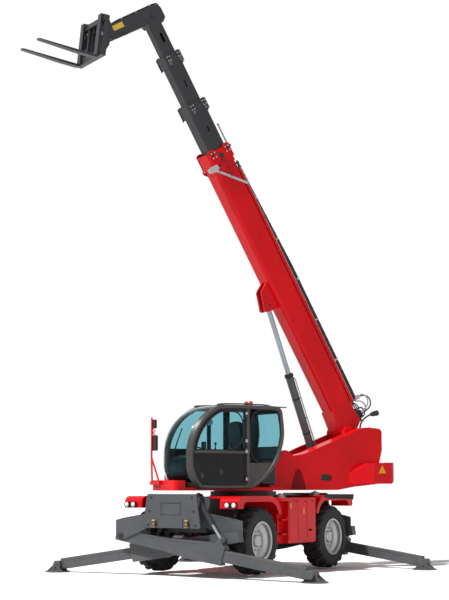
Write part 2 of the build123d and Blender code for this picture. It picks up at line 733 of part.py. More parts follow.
def turret_frame():
    # Side plates and the left cover, deck, cab floor, hood walls, pins and the slewing ring's inner race
    profile = side_profile()
    right = CHANNEL_Y0 - PLATE_W
    body = slab_y(profile, CHANNEL_Y1, COVER_Y)
    body -= box(-260, 1200, CHANNEL_Y1 + PLATE_W, COVER_Y + 10, BASE_TOP, 3000)
    body -= rod_y(-1650, 1730, 55, COVER_Y - 40, COVER_Y + 5)
    arch = outline((-930, TURRET_LOW - 5), ((-870, 1690), (-790, 1750)), ((-700, 1690), (-640, TURRET_LOW - 5)))
    body -= slab_y(arch, COVER_Y - 30, COVER_Y + 5)
    body += slab_y(profile, right, CHANNEL_Y0)
    body += box(-1850, 1050, CHANNEL_Y0, CHANNEL_Y1, TURRET_LOW, BASE_TOP)
    body += box(TAIL_SEAT_X, TAIL_SEAT_X + 60, CHANNEL_Y0, CHANNEL_Y1, TAIL_LOW + 20, 2240)
    for y0, y1 in ((right, CHANNEL_Y0), (CHANNEL_Y1, CHANNEL_Y1 + 60)):
        body += rod_y(PIVOT_X, PIVOT_Z, PIVOT_R + 60, y0, y1)
    for x in HOOD_HINGES:
        body += box(x - 30, x + 30, right - 25, right, 1620, HOOD_HINGE_Z + 16)
        body += rod_x(HOOD_HINGE_Y, HOOD_HINGE_Z, 8, x, x + 60)
    body += box(HOOD_X0, HOOD_X1, HOOD_Y, right, TURRET_LOW, BASE_TOP)
    body += box(-200, 2000, CHANNEL_Y1, 1100, TURRET_LOW, BASE_TOP)
    bumper = box(1940, BUMPER_X, 280, 1120, TURRET_LOW, 1680)
    bumper = fillet(bumper.edges().filter_by(Axis.Z).sort_by(Axis.X)[-2:], 60)
    body += bumper - cab_solid(-FIT, CAB_Y0, CAB_Y1)
    for x in (HOOD_X0, HOOD_X1 - 25):
        body += prism_x(hood_wall(), x, x + 25)
    body += rod_z(0, 0, RING_FIT_R - FIT, RING_TOP - 70, TURRET_LOW)
    body -= rod_z(0, 0, RING_BORE, RING_TOP - 80, TURRET_LOW)
    body += rod_y(PIVOT_X, PIVOT_Z, PIVOT_R, right, CHANNEL_Y1 + 60)
    half = LIFT_BASE_W / 2 + GAP
    for y0, y1 in ((CHANNEL_Y0, BOOM_Y - half), (BOOM_Y + half, CHANNEL_Y1)):
        foot = outline(
            (LIFT_BASE_X - 110, BASE_TOP),
            ((LIFT_BASE_X - 75, LIFT_BASE_Z),),
            ((LIFT_BASE_X, LIFT_BASE_Z + 75), (LIFT_BASE_X + 75, LIFT_BASE_Z)),
            ((LIFT_BASE_X + 170, BASE_TOP),),
        )
        body += slab_y(foot, y0, y1)
    body += rod_y(LIFT_BASE_X, LIFT_BASE_Z, LIFT_PIN_R, CHANNEL_Y0, CHANNEL_Y1)
    return body


def hood_wall():
    right = CHANNEL_Y0 - PLATE_W
    edge = HOOD_Y + HOOD_T + GAP
    top = HOOD_TOP - HOOD_T - GAP
    return [
        (right, BASE_TOP),
        (edge, BASE_TOP),
        (edge, HOOD_TOP - HOOD_R - 60),
        (HOOD_Y + HOOD_R + 60, top),
        (right, top),
    ]


def counterweight():
    # Cast block that flares out behind the turret, rounded at its corners and cut up at its tail
    plan = outline(
        (-2100, -420),
        ((-2500, -TAIL_HALF),),
        ((-2850, -TAIL_HALF),),
        ((-3040, -TAIL_HALF + 60), (TAIL_X, -TAIL_HALF + 250)),
        ((TAIL_X - 30, 0), (TAIL_X, TAIL_HALF - 250)),
        ((-3040, TAIL_HALF - 60), (-2850, TAIL_HALF)),
        ((-2500, TAIL_HALF),),
        ((-2100, COVER_Y + 10),),
    )
    block = extrude(Pos(0, 0, TAIL_LOW) * plan, amount=TAIL_TOP - TAIL_LOW)
    side = outline(
        (-2000, TAIL_LOW - 10),
        ((-2700, TAIL_LOW + 5),),
        ((-3050, TAIL_LOW + 60), (TAIL_X - 60, TAIL_LOW + 210)),
        ((TAIL_X - 60, TAIL_TOP - 90),),
        ((-3020, TAIL_TOP + 5), (-2850, TAIL_TOP)),
        ((-2480, TAIL_TOP - 20),),
        ((-2250, TAIL_TOP - 130), (-2000, TAIL_TOP - 330)),
    )
    block &= slab_y(side, -2000, 2000)
    room = [(-1900, 1000), (-1900, 2500), (-2974, 2500), (-2880.4, 1620), (-2880.4, 1000)]
    block -= prism_y(room, CHANNEL_Y0 - PLATE_W - FIT, COVER_Y + FIT)
    return block.solids().sort_by(SortBy.VOLUME)[-1]


def engine_hood():
    # Bent sheet over the engine, with louvres, a seam and a handle recess, and its hinge knuckles
    y_in = CHANNEL_Y0 - PLATE_W - 20
    face = outline(
        (y_in, HOOD_TOP),
        ((HOOD_Y + HOOD_R, HOOD_TOP),),
        ((HOOD_Y + 0.29 * HOOD_R, HOOD_TOP - 0.29 * HOOD_R), (HOOD_Y, HOOD_TOP - HOOD_R)),
        ((HOOD_Y, BASE_TOP + GAP),),
        ((HOOD_Y + HOOD_T, BASE_TOP + GAP),),
        ((HOOD_Y + HOOD_T, HOOD_TOP - HOOD_R),),
        (
            (HOOD_Y + HOOD_T + 0.29 * (HOOD_R - HOOD_T), HOOD_TOP - HOOD_T - 0.29 * (HOOD_R - HOOD_T)),
            (HOOD_Y + HOOD_R, HOOD_TOP - HOOD_T),
        ),
        ((y_in, HOOD_TOP - HOOD_T),),
    )
    hood = slab_x(face, HOOD_X0 - 10, HOOD_X1 + 10)
    for x0 in (-1700, -1050):
        for i in range(LOUVRES):
            z = BASE_TOP + 120 + 50 * i
            hood -= box(x0, x0 + 480, HOOD_Y - 5, HOOD_Y + HOOD_T + 5, z, z + 18)
    hood -= box(340, 480, HOOD_Y - 5, HOOD_Y + 8, BASE_TOP + 110, BASE_TOP + 160)
    for x in HOOD_HINGES:
        hood += rod_x(HOOD_HINGE_Y, HOOD_HINGE_Z, 15, x + 30 + FIT, x + 60)
        hood -= box(x - 32, x + 30 + FIT, CHANNEL_Y0 - PLATE_W - 27, 0, HOOD_TOP - 50, 2300)
        hood -= rod_x(HOOD_HINGE_Y, HOOD_HINGE_Z, 8 + FIT, x, x + 70)
    return hood


def engine():
    y_mid = (HOOD_Y + CHANNEL_Y0 - PLATE_W) / 2
    return box(-1300, -300, y_mid - 300, y_mid + 300, BASE_TOP, 2120)


# Cab
def cab_wires(y, inset):
    # Outline of the cab at y, drawn in by an inset: the front bulges between the two sides
    mid = (CAB_Y0 + CAB_Y1) / 2
    b = 1 - ((y - mid) / (CAB_Y1 - mid)) ** 2
    low = CAB_LOW + inset
    top = CAB_TOP - inset
    front = 1885 - inset + CAB_BULGE * b
    rear = -115 + inset
    foot = 1640 + 0.8 * CAB_BULGE * b
    return [
        Line((620, y, low), (foot, y, low)),
        ThreePointArc((foot, y, low), (front - 90, y, 1690 + inset * 0.7 - 40 * b), (front, y, 1980)),
        Line((front, y, 1980), (front, y, 2160)),
        ThreePointArc((front, y, 2160), (front - 195 + 0.2 * inset, y, 2690 - inset * 0.6), (1230, y, top)),
        Line((1230, y, top), (60, y, top)),
        ThreePointArc((60, y, top), (rear + 60, y, top - 60), (rear + 30, y, top - 170)),
        ThreePointArc((rear + 30, y, top - 170), (rear + 5, y, 2650), (rear, y, 2500)),
        ThreePointArc((rear, y, 2500), (110 + inset * 0.7, y, 1920 + inset * 0.7), (620, y, low)),
    ]


def cab_solid(inset, y0, y1):
    # The rounded body between y0 and y1
    sections = [make_face(cab_wires(y, inset)) for y in (y0, (y0 + y1) / 2, y1)]
    return loft(sections)


def cab_slab(inset, y0, y1):
    # The flat side outline, pulled from y0 to y1
    face = make_face(cab_wires(CAB_Y1, inset))
    return extrude(Pos(0, y0 - CAB_Y1, 0) * face, amount=y1 - y0, dir=(0, 1, 0))


def windshield_room():
    # What the front glass fills: the whole front between the side frames, up to the roof
    room = box(1000, 2400, CAB_Y0 + 60, CAB_Y1 - 60, WINDSHIELD_LOW, 3200)
    return room - box(0, ROOF_X, 0, 1300, 2850, 3200)


def cab_frame():
    body = cab_solid(0, CAB_Y0, CAB_Y1)
    room = cab_solid(CAB_WALL, CAB_Y0 + CAB_WALL, CAB_Y1 - CAB_WALL - 20)
    body -= room - box(-500, 2500, 0, 2000, 1000, BASE_TOP + CAB_WALL)
    opening = cab_slab(60, CAB_Y1 - 200, CAB_Y1 + 10)
    post = box(CAB_POST_X - CAB_POST_W, CAB_POST_X, CAB_Y1 - 300, CAB_Y1 + 20, CAB_LOW - 10, CAB_TOP + 10)
    body -= opening - post
    body -= windshield_room()
    body -= rear_window_room()
    for x0, x1 in FAR_WINDOWS:
        body -= far_window(x0, x1, CAB_Y0 - 10, CAB_Y0 + 60)
    body -= box(-500, 2500, CAB_Y0 - 10, 1135, 1000, BASE_TOP)
    panel = cab_slab(50, CAB_Y1 - 30, CAB_Y1)
    body += panel & box(-500, CAB_POST_X - 20, 0, 2000, 1000, QUARTER_Z)
    for z in DOOR_HINGES:
        body += box(CAB_POST_X - 50, DOOR_HINGE_X, CAB_Y1 - 10, DOOR_HINGE_Y, z, z + 30)
        body += rod_z(DOOR_HINGE_X, DOOR_HINGE_Y, 14, z, z + 30)
        body += rod_z(DOOR_HINGE_X, DOOR_HINGE_Y, 6, z, z + 60)
    body += box(-190, 30, 1080, 1180, CAB_TOP - 22, CAB_TOP - 4)
    return body


def rear_window_room():
    return box(-300, 400, CAB_Y0 + 90, CAB_Y1 - 90, 2300, 2900)


def far_window(x0, x1, y0, y1):
    # One window of the far side, inside the side outline
    return cab_slab(80, y0, y1) & box(x0, x1, 0, 2000, WAIST_Z, 4000)


def door_outline():
    shape = cab_slab(60 + DOOR_GAP, CAB_Y1 - DOOR_T, CAB_Y1)
    return shape & box(CAB_POST_X + DOOR_GAP, 2500, 0, 2000, 1000, 4000)


def cab_door():
    outer = door_outline()
    inner = cab_slab(60 + DOOR_GAP + 50, CAB_Y1 - 200, CAB_Y1 + 10)
    inner &= box(CAB_POST_X + DOOR_GAP + 50, 2500, 0, 2000, 1000, 4000)
    lower = box(0, 3000, 0, CAB_Y1 - 16, 1000, PANEL_Z)
    bar = box(0, 3000, 0, 2000, WAIST_Z, WAIST_Z + WAIST_H)
    door = outer - (inner - lower - bar)
    for z in DOOR_HINGES:
        z0 = z + 30 + FIT
        door += box(DOOR_HINGE_X, DOOR_HINGE_X + 50, CAB_Y1 - 10, DOOR_HINGE_Y, z0, z + 60)
        door += rod_z(DOOR_HINGE_X, DOOR_HINGE_Y, 14, z0, z + 60)
        door -= rod_z(DOOR_HINGE_X, DOOR_HINGE_Y, 6 + FIT, z, z + 70)
        door -= box(DOOR_HINGE_X - 60, DOOR_HINGE_X + 20, CAB_Y1 - 15, DOOR_HINGE_Y + 20, z - 5, z0)
    handle = box(1640, 1780, CAB_Y1 - 12, CAB_Y1 + 22, 2098, 2122)
    door += handle - box(1655, 1765, CAB_Y1, CAB_Y1 + 12, 2090, 2130)
    return door


def door_glass():
    inner = cab_slab(60 + DOOR_GAP + 50, CAB_Y1 - 24, CAB_Y1 - 24 + GLASS_T)
    inner &= box(CAB_POST_X + DOOR_GAP + 50, 2500, 0, 2000, PANEL_Z, 4000)
    return inner - box(0, 3000, 0, 2000, WAIST_Z, WAIST_Z + WAIST_H)


def cab_glass():
    # Curved front and rear panes, the far side's windows and the rear quarter's pane
    y0 = CAB_Y0 + 50
    y1 = CAB_Y1 - 50
    shell = cab_solid(10, y0, y1) - cab_solid(10 + GLASS_T, y0 - 5, y1 + 5)
    front = shell & windshield_room()
    rear = shell & rear_window_room()
    quarter = cab_slab(60, CAB_Y1 - 30, CAB_Y1 - 30 + GLASS_T)
    quarter &= box(-500, CAB_POST_X - CAB_POST_W, 0, 2000, QUARTER_Z, 4000)
    pieces = [front.solids()[0], rear.solids()[0], quarter.solids()[0]]
    for x0, x1 in FAR_WINDOWS:
        pieces += far_window(x0, x1, CAB_Y0 + 10, CAB_Y0 + 10 + GLASS_T).solids()
    return Compound(pieces)


def seat():
    # Suspension stand, cushion, backrest, armrests with levers
    y = (CAB_Y0 + CAB_Y1) / 2
    floor = BASE_TOP + CAB_WALL
    cushion = fillet(box(560, 1060, y - 240, y + 240, 1990, 2110).edges().filter_by(Axis.X), 35)
    back = prism_y([(520, 2110), (640, 2110), (555, 2760), (465, 2760)], y - 220, y + 220)
    stand = box(680, 940, y - 150, y + 150, floor, 1880) + box(640, 980, y - 200, y + 200, 1880, 1991)
    body = cushion + back + stand
    for side in (-1, 1):
        y0, y1 = sorted((y + side * 235, y + side * 310))
        body += box(600, 960, y0, y1, 2190, 2240)
        body += box(580, 640, y0, y1, 2050, 2195)
        ym = (y0 + y1) / 2
        body += rod_z(920, ym, 14, 2239, 2330) + Pos(920, ym, 2340) * Sphere(26)
        body += box(540, 600, min(ym, y + side * 200), max(ym, y + side * 200), 2055, 2100)
    return body


def controls():
    y = (CAB_Y0 + CAB_Y1) / 2
    floor = BASE_TOP + CAB_WALL
    column = prism_y([(1500, floor), (1620, floor), (1500, 2200), (1420, 2180)], y - 70, y + 70)
    wheel = Pos(1440, y, 2215) * Rot(0, -25, 0) * Torus(180, 14)
    spokes = Pos(1440, y, 2215) * Rot(0, -25, 0) * Box(350, 30, 16)
    hub = Pos(1440, y, 2195) * Rot(0, -25, 0) * Cylinder(40, 60)
    return column + wheel + spokes + hub


def mirrors():
    # Bent tube on the bumper with a brace, a wide-angle mirror above and a large one below
    y = 330
    r = 16
    x0 = BUMPER_X + FIT
    leg = rod_z(2175, y, r, 2080, 2800) + Pos(2175, y, 2080) * Sphere(r)
    for low_x, low_y in ((2162, y), (2162, y + 260)):
        run = Line((low_x, low_y, 1640), (2175, y, 2080))
        leg += sweep(Plane(run @ 0, z_dir=run % 0) * Circle(r), path=run)
    foot = box(x0, x0 + 46, y - 40, y + 300, 1600, 1665)
    heads = fillet(box(2120, 2160, y - 20, y + 130, 2210, 2480).edges().filter_by(Axis.X), 25)
    heads += fillet(box(2120, 2160, y - 20, y + 90, 2610, 2760).edges().filter_by(Axis.X), 20)
    return leg + foot + heads


def beacon():
    # Two domes on a bar
    y = 700
    body = box(290, 390, y - 110, y + 110, CAB_TOP, CAB_TOP + 25)
    for dy in (-75, 75):
        dome = rod_z(340, y + dy, 45, CAB_TOP + 25, CAB_TOP + 110)
        body += fillet(dome.edges().sort_by(Axis.Z)[-1], 25)
    return body


# Boom, along +X from the pivot with +Z up from it
def tube_section(s0, s1, v, width, height, radius, wall):
    outer = Plane.YZ * RectangleRounded(width, height, radius)
    inner = Plane.YZ * RectangleRounded(width - 2 * wall, height - 2 * wall, radius - wall)
    body = extrude(outer, amount=s1 - s0) - extrude(inner, amount=s1 - s0)
    return Pos(s0, 0, v) * body


def solid_section(s0, s1, v, width, height, radius):
    return Pos(s0, 0, v) * extrude(Plane.YZ * RectangleRounded(width, height, radius), amount=s1 - s0)


def boom_base():
    # Rounded box with the pivot, the lift cylinder's ears and a bolted head that carries the next section
    mid = BASE_LOW + BASE_H / 2
    top = BASE_LOW + BASE_H
    outer = solid_section(BASE_S0, BASE_S1, mid, BASE_W, BASE_H, BASE_R)
    inner_w = BASE_W - 2 * BASE_WALL
    inner_h = BASE_H - 2 * BASE_WALL
    hollow = solid_section(BASE_HOLLOW, BASE_S1 + 10, mid, inner_w, inner_h, BASE_R - BASE_WALL)
    tail = outline(
        (500, BASE_LOW),
        ((0, -110),),
        ((-100, -50), (-110, 20)),
        ((-60, 300), (30, 445)),
        ((150, 460),),
        ((500, 250),),
    )
    body = outer + slab_y(tail, -BASE_W / 2, BASE_W / 2) - hollow
    head = solid_section(BASE_S1 - 200, BASE_S1 + 130, mid, BASE_W + 30, BASE_H + 30, BASE_R)
    head -= solid_section(BASE_S1 - 210, BASE_S1 + 1, mid, BASE_W - 1, BASE_H - 1, BASE_R - 1)
    nest_w = SEC_W[0] + 2 * FIT
    nest_h = SEC_H[0] + 2 * FIT
    head -= solid_section(BASE_S1 - 1, BASE_S1 + 140, SECTION_V, nest_w, nest_h, SEC_R[0] + FIT)
    body += head
    for side in (-1, 1):
        body += head_plate(side, BASE_W / 2 + 15, BASE_S1, BASE_LOW - 5, top + 5, 1.0)
        bar = prism_y(
            [(BASE_S1 - 210, BASE_LOW - 30), (BASE_S1 - 150, BASE_LOW - 30), (BASE_S1 - 700, top + 20),
             (BASE_S1 - 760, top + 20)],
            *sorted((side * (BASE_W / 2 - 1), side * (BASE_W / 2 + 24)))
        )
        body += bar
        y0, y1 = sorted((side * LIFT_EAR_Y, side * 100))
        ear = outline(
            (LIFT_PIN_S - 350, BASE_LOW + 10),
            ((LIFT_PIN_S - 290, -330),),
            ((LIFT_PIN_S - 270, -375), (LIFT_PIN_S - 200, -375)),
            ((LIFT_PIN_S + 40, -300),),
            ((LIFT_PIN_S + 110, -270), (LIFT_PIN_S + 150, -210)),
            ((LIFT_PIN_S + 230, BASE_LOW + 10),),
        )
        body += slab_y(ear, y0, y1) - rod_y(LIFT_PIN_S - 190, -250, 30, -200, 200)
        y2 = side * 118
        body += rod_y(LIFT_PIN_S, LIFT_PIN_V, LIFT_PIN_R + 12, min(y0, y2), max(y1, y2))
        boss0, boss1 = sorted((side * (BASE_W / 2 - 1), side * (BASE_W / 2 + 30)))
        body += rod_y(0, 0, PIVOT_R + 55, boss0, boss1)
    slot = LIFT_EAR_Y - 2
    body -= box(LIFT_PIN_S - 320, LIFT_PIN_S + 200, -slot, slot, BASE_LOW - 20, BASE_LOW + 20)
    body -= rod_y(0, 0, PIVOT_R + FIT, -BASE_W, BASE_W)
    return body


def head_plate(side, y, s1, low, top, size):
    # Lobed plate on one side of a section's head, with its wear pads' bolts
    h = top - low
    face = outline(
        (s1 - HEAD_PLATE_BACK * size, low),
        ((s1 + 150 * size, low),),
        ((s1 + 180 * size, low + 0.2 * h), (s1 + 110 * size, low + 0.36 * h)),
        ((s1 + 30 * size, low + 0.5 * h), (s1 + 110 * size, low + 0.64 * h)),
        ((s1 + 180 * size, low + 0.8 * h), (s1 + 150 * size, top)),
        ((s1 - 120 * size, top),),
        ((s1 - 60 * size, low + 0.5 * h), (s1 - HEAD_PLATE_BACK * size, low)),
    )
    y0, y1 = sorted((side * (y - 1), side * (y + HEAD_PLATE_T)))
    plate = slab_y(face, y0, y1)
    b0, b1 = sorted((side * (y + HEAD_PLATE_T - 1), side * (y + HEAD_PLATE_T + 9)))
    for s in (s1 + 20 * size, s1 + 110 * size):
        for v in (low + 0.1 * h, low + 0.24 * h, low + 0.76 * h, low + 0.9 * h):
            plate += rod_y(s, v, HEAD_BOLT_R, b0, b1)
    return plate


def boom_section(index):
    # A telescoping tube with its guide slot and a head for the next one, or the nose on the last
    s0 = SEC_S0[index]
    s1 = SEC_S1[index]
    w = SEC_W[index]
    h = SEC_H[index]
    r = SEC_R[index]
    body = tube_section(s0, s1, SECTION_V, w, h, r, SEC_WALL)
    slot = extrude(SlotOverall(SLOT_L[index], SLOT_H[index]), amount=w, both=True)
    body -= Pos(SLOT_S[index], 0, SECTION_V) * Rot(90, 0, 0) * slot
    if index < 2:
        head = solid_section(s1 - 120, s1 + 130, SECTION_V, w + 40, h + 40, r)
        head -= solid_section(s1 - 130, s1, SECTION_V, w - 1, h - 1, r - 1)
        nw = SEC_W[index + 1] + 2 * FIT
        nh = SEC_H[index + 1] + 2 * FIT
        head -= solid_section(s1 - 1, s1 + 140, SECTION_V, nw, nh, SEC_R[index + 1] + FIT)
        body += head
        for side in (-1, 1):
            low = SECTION_V - h / 2 - 20
            body += head_plate(side, w / 2 + 20, s1, low, low + h + 40, 0.8)
    else:
        body -= box(NOSE_S0 - 20, s1 + 10, -400, 400, -400, 900)
        body += boom_nose()
    return body


def boom_nose():
    # Elbow at the boom's end: hollow arm down to the carriage pin, with bosses and side ribs
    half = NOSE_W / 2
    face = outline(
        (NOSE_S0 - 20, 30),
        ((NOSE_S0, NOSE_END - 100),),
        ((NOSE_PIN_S - 95, NOSE_PIN_V),),
        ((NOSE_PIN_S, NOSE_PIN_V - 95), (NOSE_PIN_S + 95, NOSE_PIN_V)),
        ((NOSE_S1, NOSE_END),),
        ((NOSE_S1, 320),),
        ((NOSE_S1 - 25, 430), (NOSE_S1 - 110, NOSE_TOP)),
        ((NOSE_S0 - 20, NOSE_TOP),),
        ((NOSE_S0 - 90, 400),),
        ((NOSE_S0 - 90, 60),),
    )
    body = slab_y(face, -half, half)
    inner = half - NOSE_PLATE
    body -= box(NOSE_S0 + NOSE_PLATE, NOSE_S1 - NOSE_PLATE, -inner, inner, -590, 400)
    body -= box(NOSE_S0 - 60, NOSE_S1 + 60, -inner, inner, -1000, NOSE_MOUTH)
    for side in (-1, 1):
        y0, y1 = sorted((side * (half - 1), side * (half + 10)))
        body += rod_y(TILT_BASE_S, TILT_BASE_V, TILT_PIN_R + 22, y0, y1)
        rib = [(NOSE_S0 + 20, 300), (NOSE_S0 + 50, 300), (NOSE_S0 + 50, -560), (NOSE_S0 + 20, -560)]
        body += prism_y(rib, y0, y1)
        b0, b1 = sorted((side * (half - 1), side * (half + 4)))
        body += rod_y(NOSE_PIN_S, NOSE_PIN_V, NOSE_PIN_R + 40, b0, b1)
    body += rod_y(NOSE_PIN_S, NOSE_PIN_V, NOSE_PIN_R, -half - 60, half + 60)
    body += rod_y(TILT_BASE_S, TILT_BASE_V, TILT_PIN_R, -inner, inner)
    return body


def boom_hoses():
    # Hose rail along the boom's top with its hoses, and the loops that leave it at the tail
    top = BASE_LOW + BASE_H
    rail = box(RAIL_S0, RAIL_S1, -RAIL_W / 2, RAIL_W / 2, top + FIT, top + RAIL_H)
    rail -= box(RAIL_S0 - 5, RAIL_S1 + 5, 8 - RAIL_W / 2, RAIL_W / 2 - 8, top + 12, top + RAIL_H + 5)
    block_s = RAIL_S0 - LOOP_S
    rail += box(block_s - 45, RAIL_S0 + 1, 8 - RAIL_W / 2, RAIL_W / 2 - 8, top + FIT, top + 10)
    rail += box(block_s - 40, block_s + 40, 8 - RAIL_W / 2, RAIL_W / 2 - 8, top + 9, top + 50)
    clamp = box(RAIL_S0 + 15, RAIL_S0 + 95, -RAIL_W / 2, RAIL_W / 2, top + FIT, top + RAIL_H + 40)
    rail += clamp
    for i in range(HOSES):
        y = (i - (HOSES - 1) / 2) * (2 * HOSE_R + 6)
        rail += rod_x(y, top + 11 + HOSE_R, HOSE_R, RAIL_S0 + 60, RAIL_S1 - 60)
        high = (RAIL_S0 - LOOP_S / 2, y, top + 110 + 22 * i)
        loop = ThreePointArc((RAIL_S0 + 50, y, top + 60), high, (block_s, y, top + 30))
        rail += sweep(Plane(loop @ 0, z_dir=loop % 0) * Circle(HOSE_R), path=loop)
    return rail


def cylinder_barrel(r, rod_r, pin_r, length, width):
    barrel = rod_x(0, 0, r, r + 10, length)
    eye = rod_y(0, 0, r, -width / 2, width / 2)
    eye += box(0, r + 20, -width / 2, width / 2, -r * 0.7, r * 0.7)
    hole = rod_y(0, 0, pin_r + FIT, -width, width)
    bore = rod_x(0, 0, rod_r + FIT, r + 60, length + 10)
    return barrel + eye - hole - bore


def cylinder_rod(rod_r, eye_r, start, length, width):
    rod = rod_x(0, 0, rod_r, start, length)
    eye = rod_y(length, 0, eye_r, -width / 2, width / 2)
    return rod + eye


# Carriage and forks, about the nose pin
def fork_carriage():
    # Carriage frame with the fork bars, uprights, pin cheeks and the tilt cylinder's lugs
    half = CARRIAGE_W / 2
    bars = box(CARRIAGE_X0, CARRIAGE_X1, -half, half, CARRIAGE_TOP - 110, CARRIAGE_TOP)
    bars += box(CARRIAGE_X0, CARRIAGE_X1, -half, half, CARRIAGE_LOW, CARRIAGE_LOW + 120)
    for y in (-half + 30, -170, 170, half - 30):
        bars += box(CARRIAGE_X0, CARRIAGE_X1 - 20, y - 30, y + 30, CARRIAGE_LOW, CARRIAGE_TOP)
    bars = chamfer(bars.edges().filter_by(Axis.Y).group_by(Axis.Z)[-1], 14)
    out = NOSE_W / 2 + GAP
    for side in (-1, 1):
        y0, y1 = sorted((side * out, side * (out + 40)))
        cheek = outline(
            (CARRIAGE_X0 + 20, CARRIAGE_TOP - 20),
            ((60, 88),),
            ((-60, 66), (-90, 0)),
            ((-70, -60), (0, -95)),
            ((CARRIAGE_X0 + 20, CARRIAGE_LOW + 60),),
        )
        bars += slab_y(cheek, y0, y1) - rod_y(115, -110, 38, -half, half)
        brace = [
            (CARRIAGE_X0 - 60, 60),
            (CARRIAGE_X0 + 5, 150),
            (CARRIAGE_X0 + 5, -460),
            (CARRIAGE_X0 - 60, -330),
        ]
        b0, b1 = sorted((side * (half - 45), side * (half - 15)))
        bars += prism_y(brace, b0, b1)
    bars -= rod_y(0, 0, NOSE_PIN_R + FIT, -half, half)
    a = math.radians(TILT_ARM_DEG + BOOM_DEG - FORK_DEG)
    lug_x = TILT_ARM * math.cos(a)
    lug_z = TILT_ARM * math.sin(a)
    for side in (-1, 1):
        y0, y1 = sorted((side * (TILT_EYE_W / 2 + 6), side * 52))
        lug = outline(
            (CARRIAGE_X0 + 20, lug_z - 90),
            ((lug_x, lug_z - 42),),
            ((lug_x - 42, lug_z), (lug_x, lug_z + 42)),
            ((CARRIAGE_X0 + 20, lug_z + 60),),
        )
        bars += slab_y(lug, y0, y1)
    bars += box(CARRIAGE_X0, CARRIAGE_X0 + 30, -170, 170, lug_z - 90, lug_z + 60)
    room = TILT_EYE_W / 2 + 5
    return bars - box(CARRIAGE_X0 - 5, CARRIAGE_X0 + 50, -room, room, lug_z - 95, lug_z + 65)


def forks():
    # Two L-shaped forks hooked over the top bar, tapered blades
    both = []
    x0 = CARRIAGE_X1 + FIT
    x1 = x0 + FORK_T
    for side in (-1, 1):
        y = side * FORK_HALF
        face = outline(
            (x0, FORK_LOW + 60),
            ((x0 + 17.6, FORK_LOW + 17.6), (x0 + 60, FORK_LOW)),
            ((x0 + 400, FORK_LOW),),
            ((x0 + FORK_L, FORK_LOW + 30),),
            ((x0 + FORK_L, FORK_LOW + FORK_T),),
            ((x1 + 40, FORK_LOW + FORK_T),),
            ((x1 + 10, FORK_LOW + FORK_T + 10), (x1, FORK_LOW + FORK_T + 40)),
            ((x1, CARRIAGE_TOP + 28),),
            ((CARRIAGE_X0 + 20, CARRIAGE_TOP + 28),),
            ((CARRIAGE_X0 + 20, CARRIAGE_TOP + FIT),),
            ((x0, CARRIAGE_TOP + FIT),),
        )
        blade = slab_y(face, y - FORK_W / 2, y + FORK_W / 2)
        tip = blade.edges().filter_by(Axis.Z).sort_by(Axis.X)[-2:]
        both.append(fillet(tip, 45))
    return Compound(both)


# Places
def turret_place():
    return Pos(SLEW_X, 0, 0) * Rot(0, 0, SLEW_DEG)


def boom_place():
    return turret_place() * Pos(PIVOT_X, BOOM_Y, PIVOT_Z) * Rot(0, -BOOM_DEG, 0)


def carriage_place():
    return boom_place() * Pos(NOSE_PIN_S, 0, NOSE_PIN_V) * Rot(0, BOOM_DEG - FORK_DEG, 0)


def lift_points():
    a = math.radians(BOOM_DEG)
    top_x = PIVOT_X + LIFT_PIN_S * math.cos(a) - LIFT_PIN_V * math.sin(a)
    top_z = PIVOT_Z + LIFT_PIN_S * math.sin(a) + LIFT_PIN_V * math.cos(a)
    return (LIFT_BASE_X, LIFT_BASE_Z), (top_x, top_z)


TURRET_PIECES = (
    ("turret_frame", turret_frame),
    ("counterweight", counterweight),
    ("engine_hood", engine_hood),
    ("engine", engine),
    ("cab_frame", cab_frame),
    ("cab_door", cab_door),
    ("cab_glass", cab_glass),
    ("door_glass", door_glass),
    ("seat", seat),
    ("controls", controls),
    ("mirrors", mirrors),
    ("beacon", beacon),
)


def save(name, shape):
    export_step(shape, os.path.join("parts", name + ".step"))


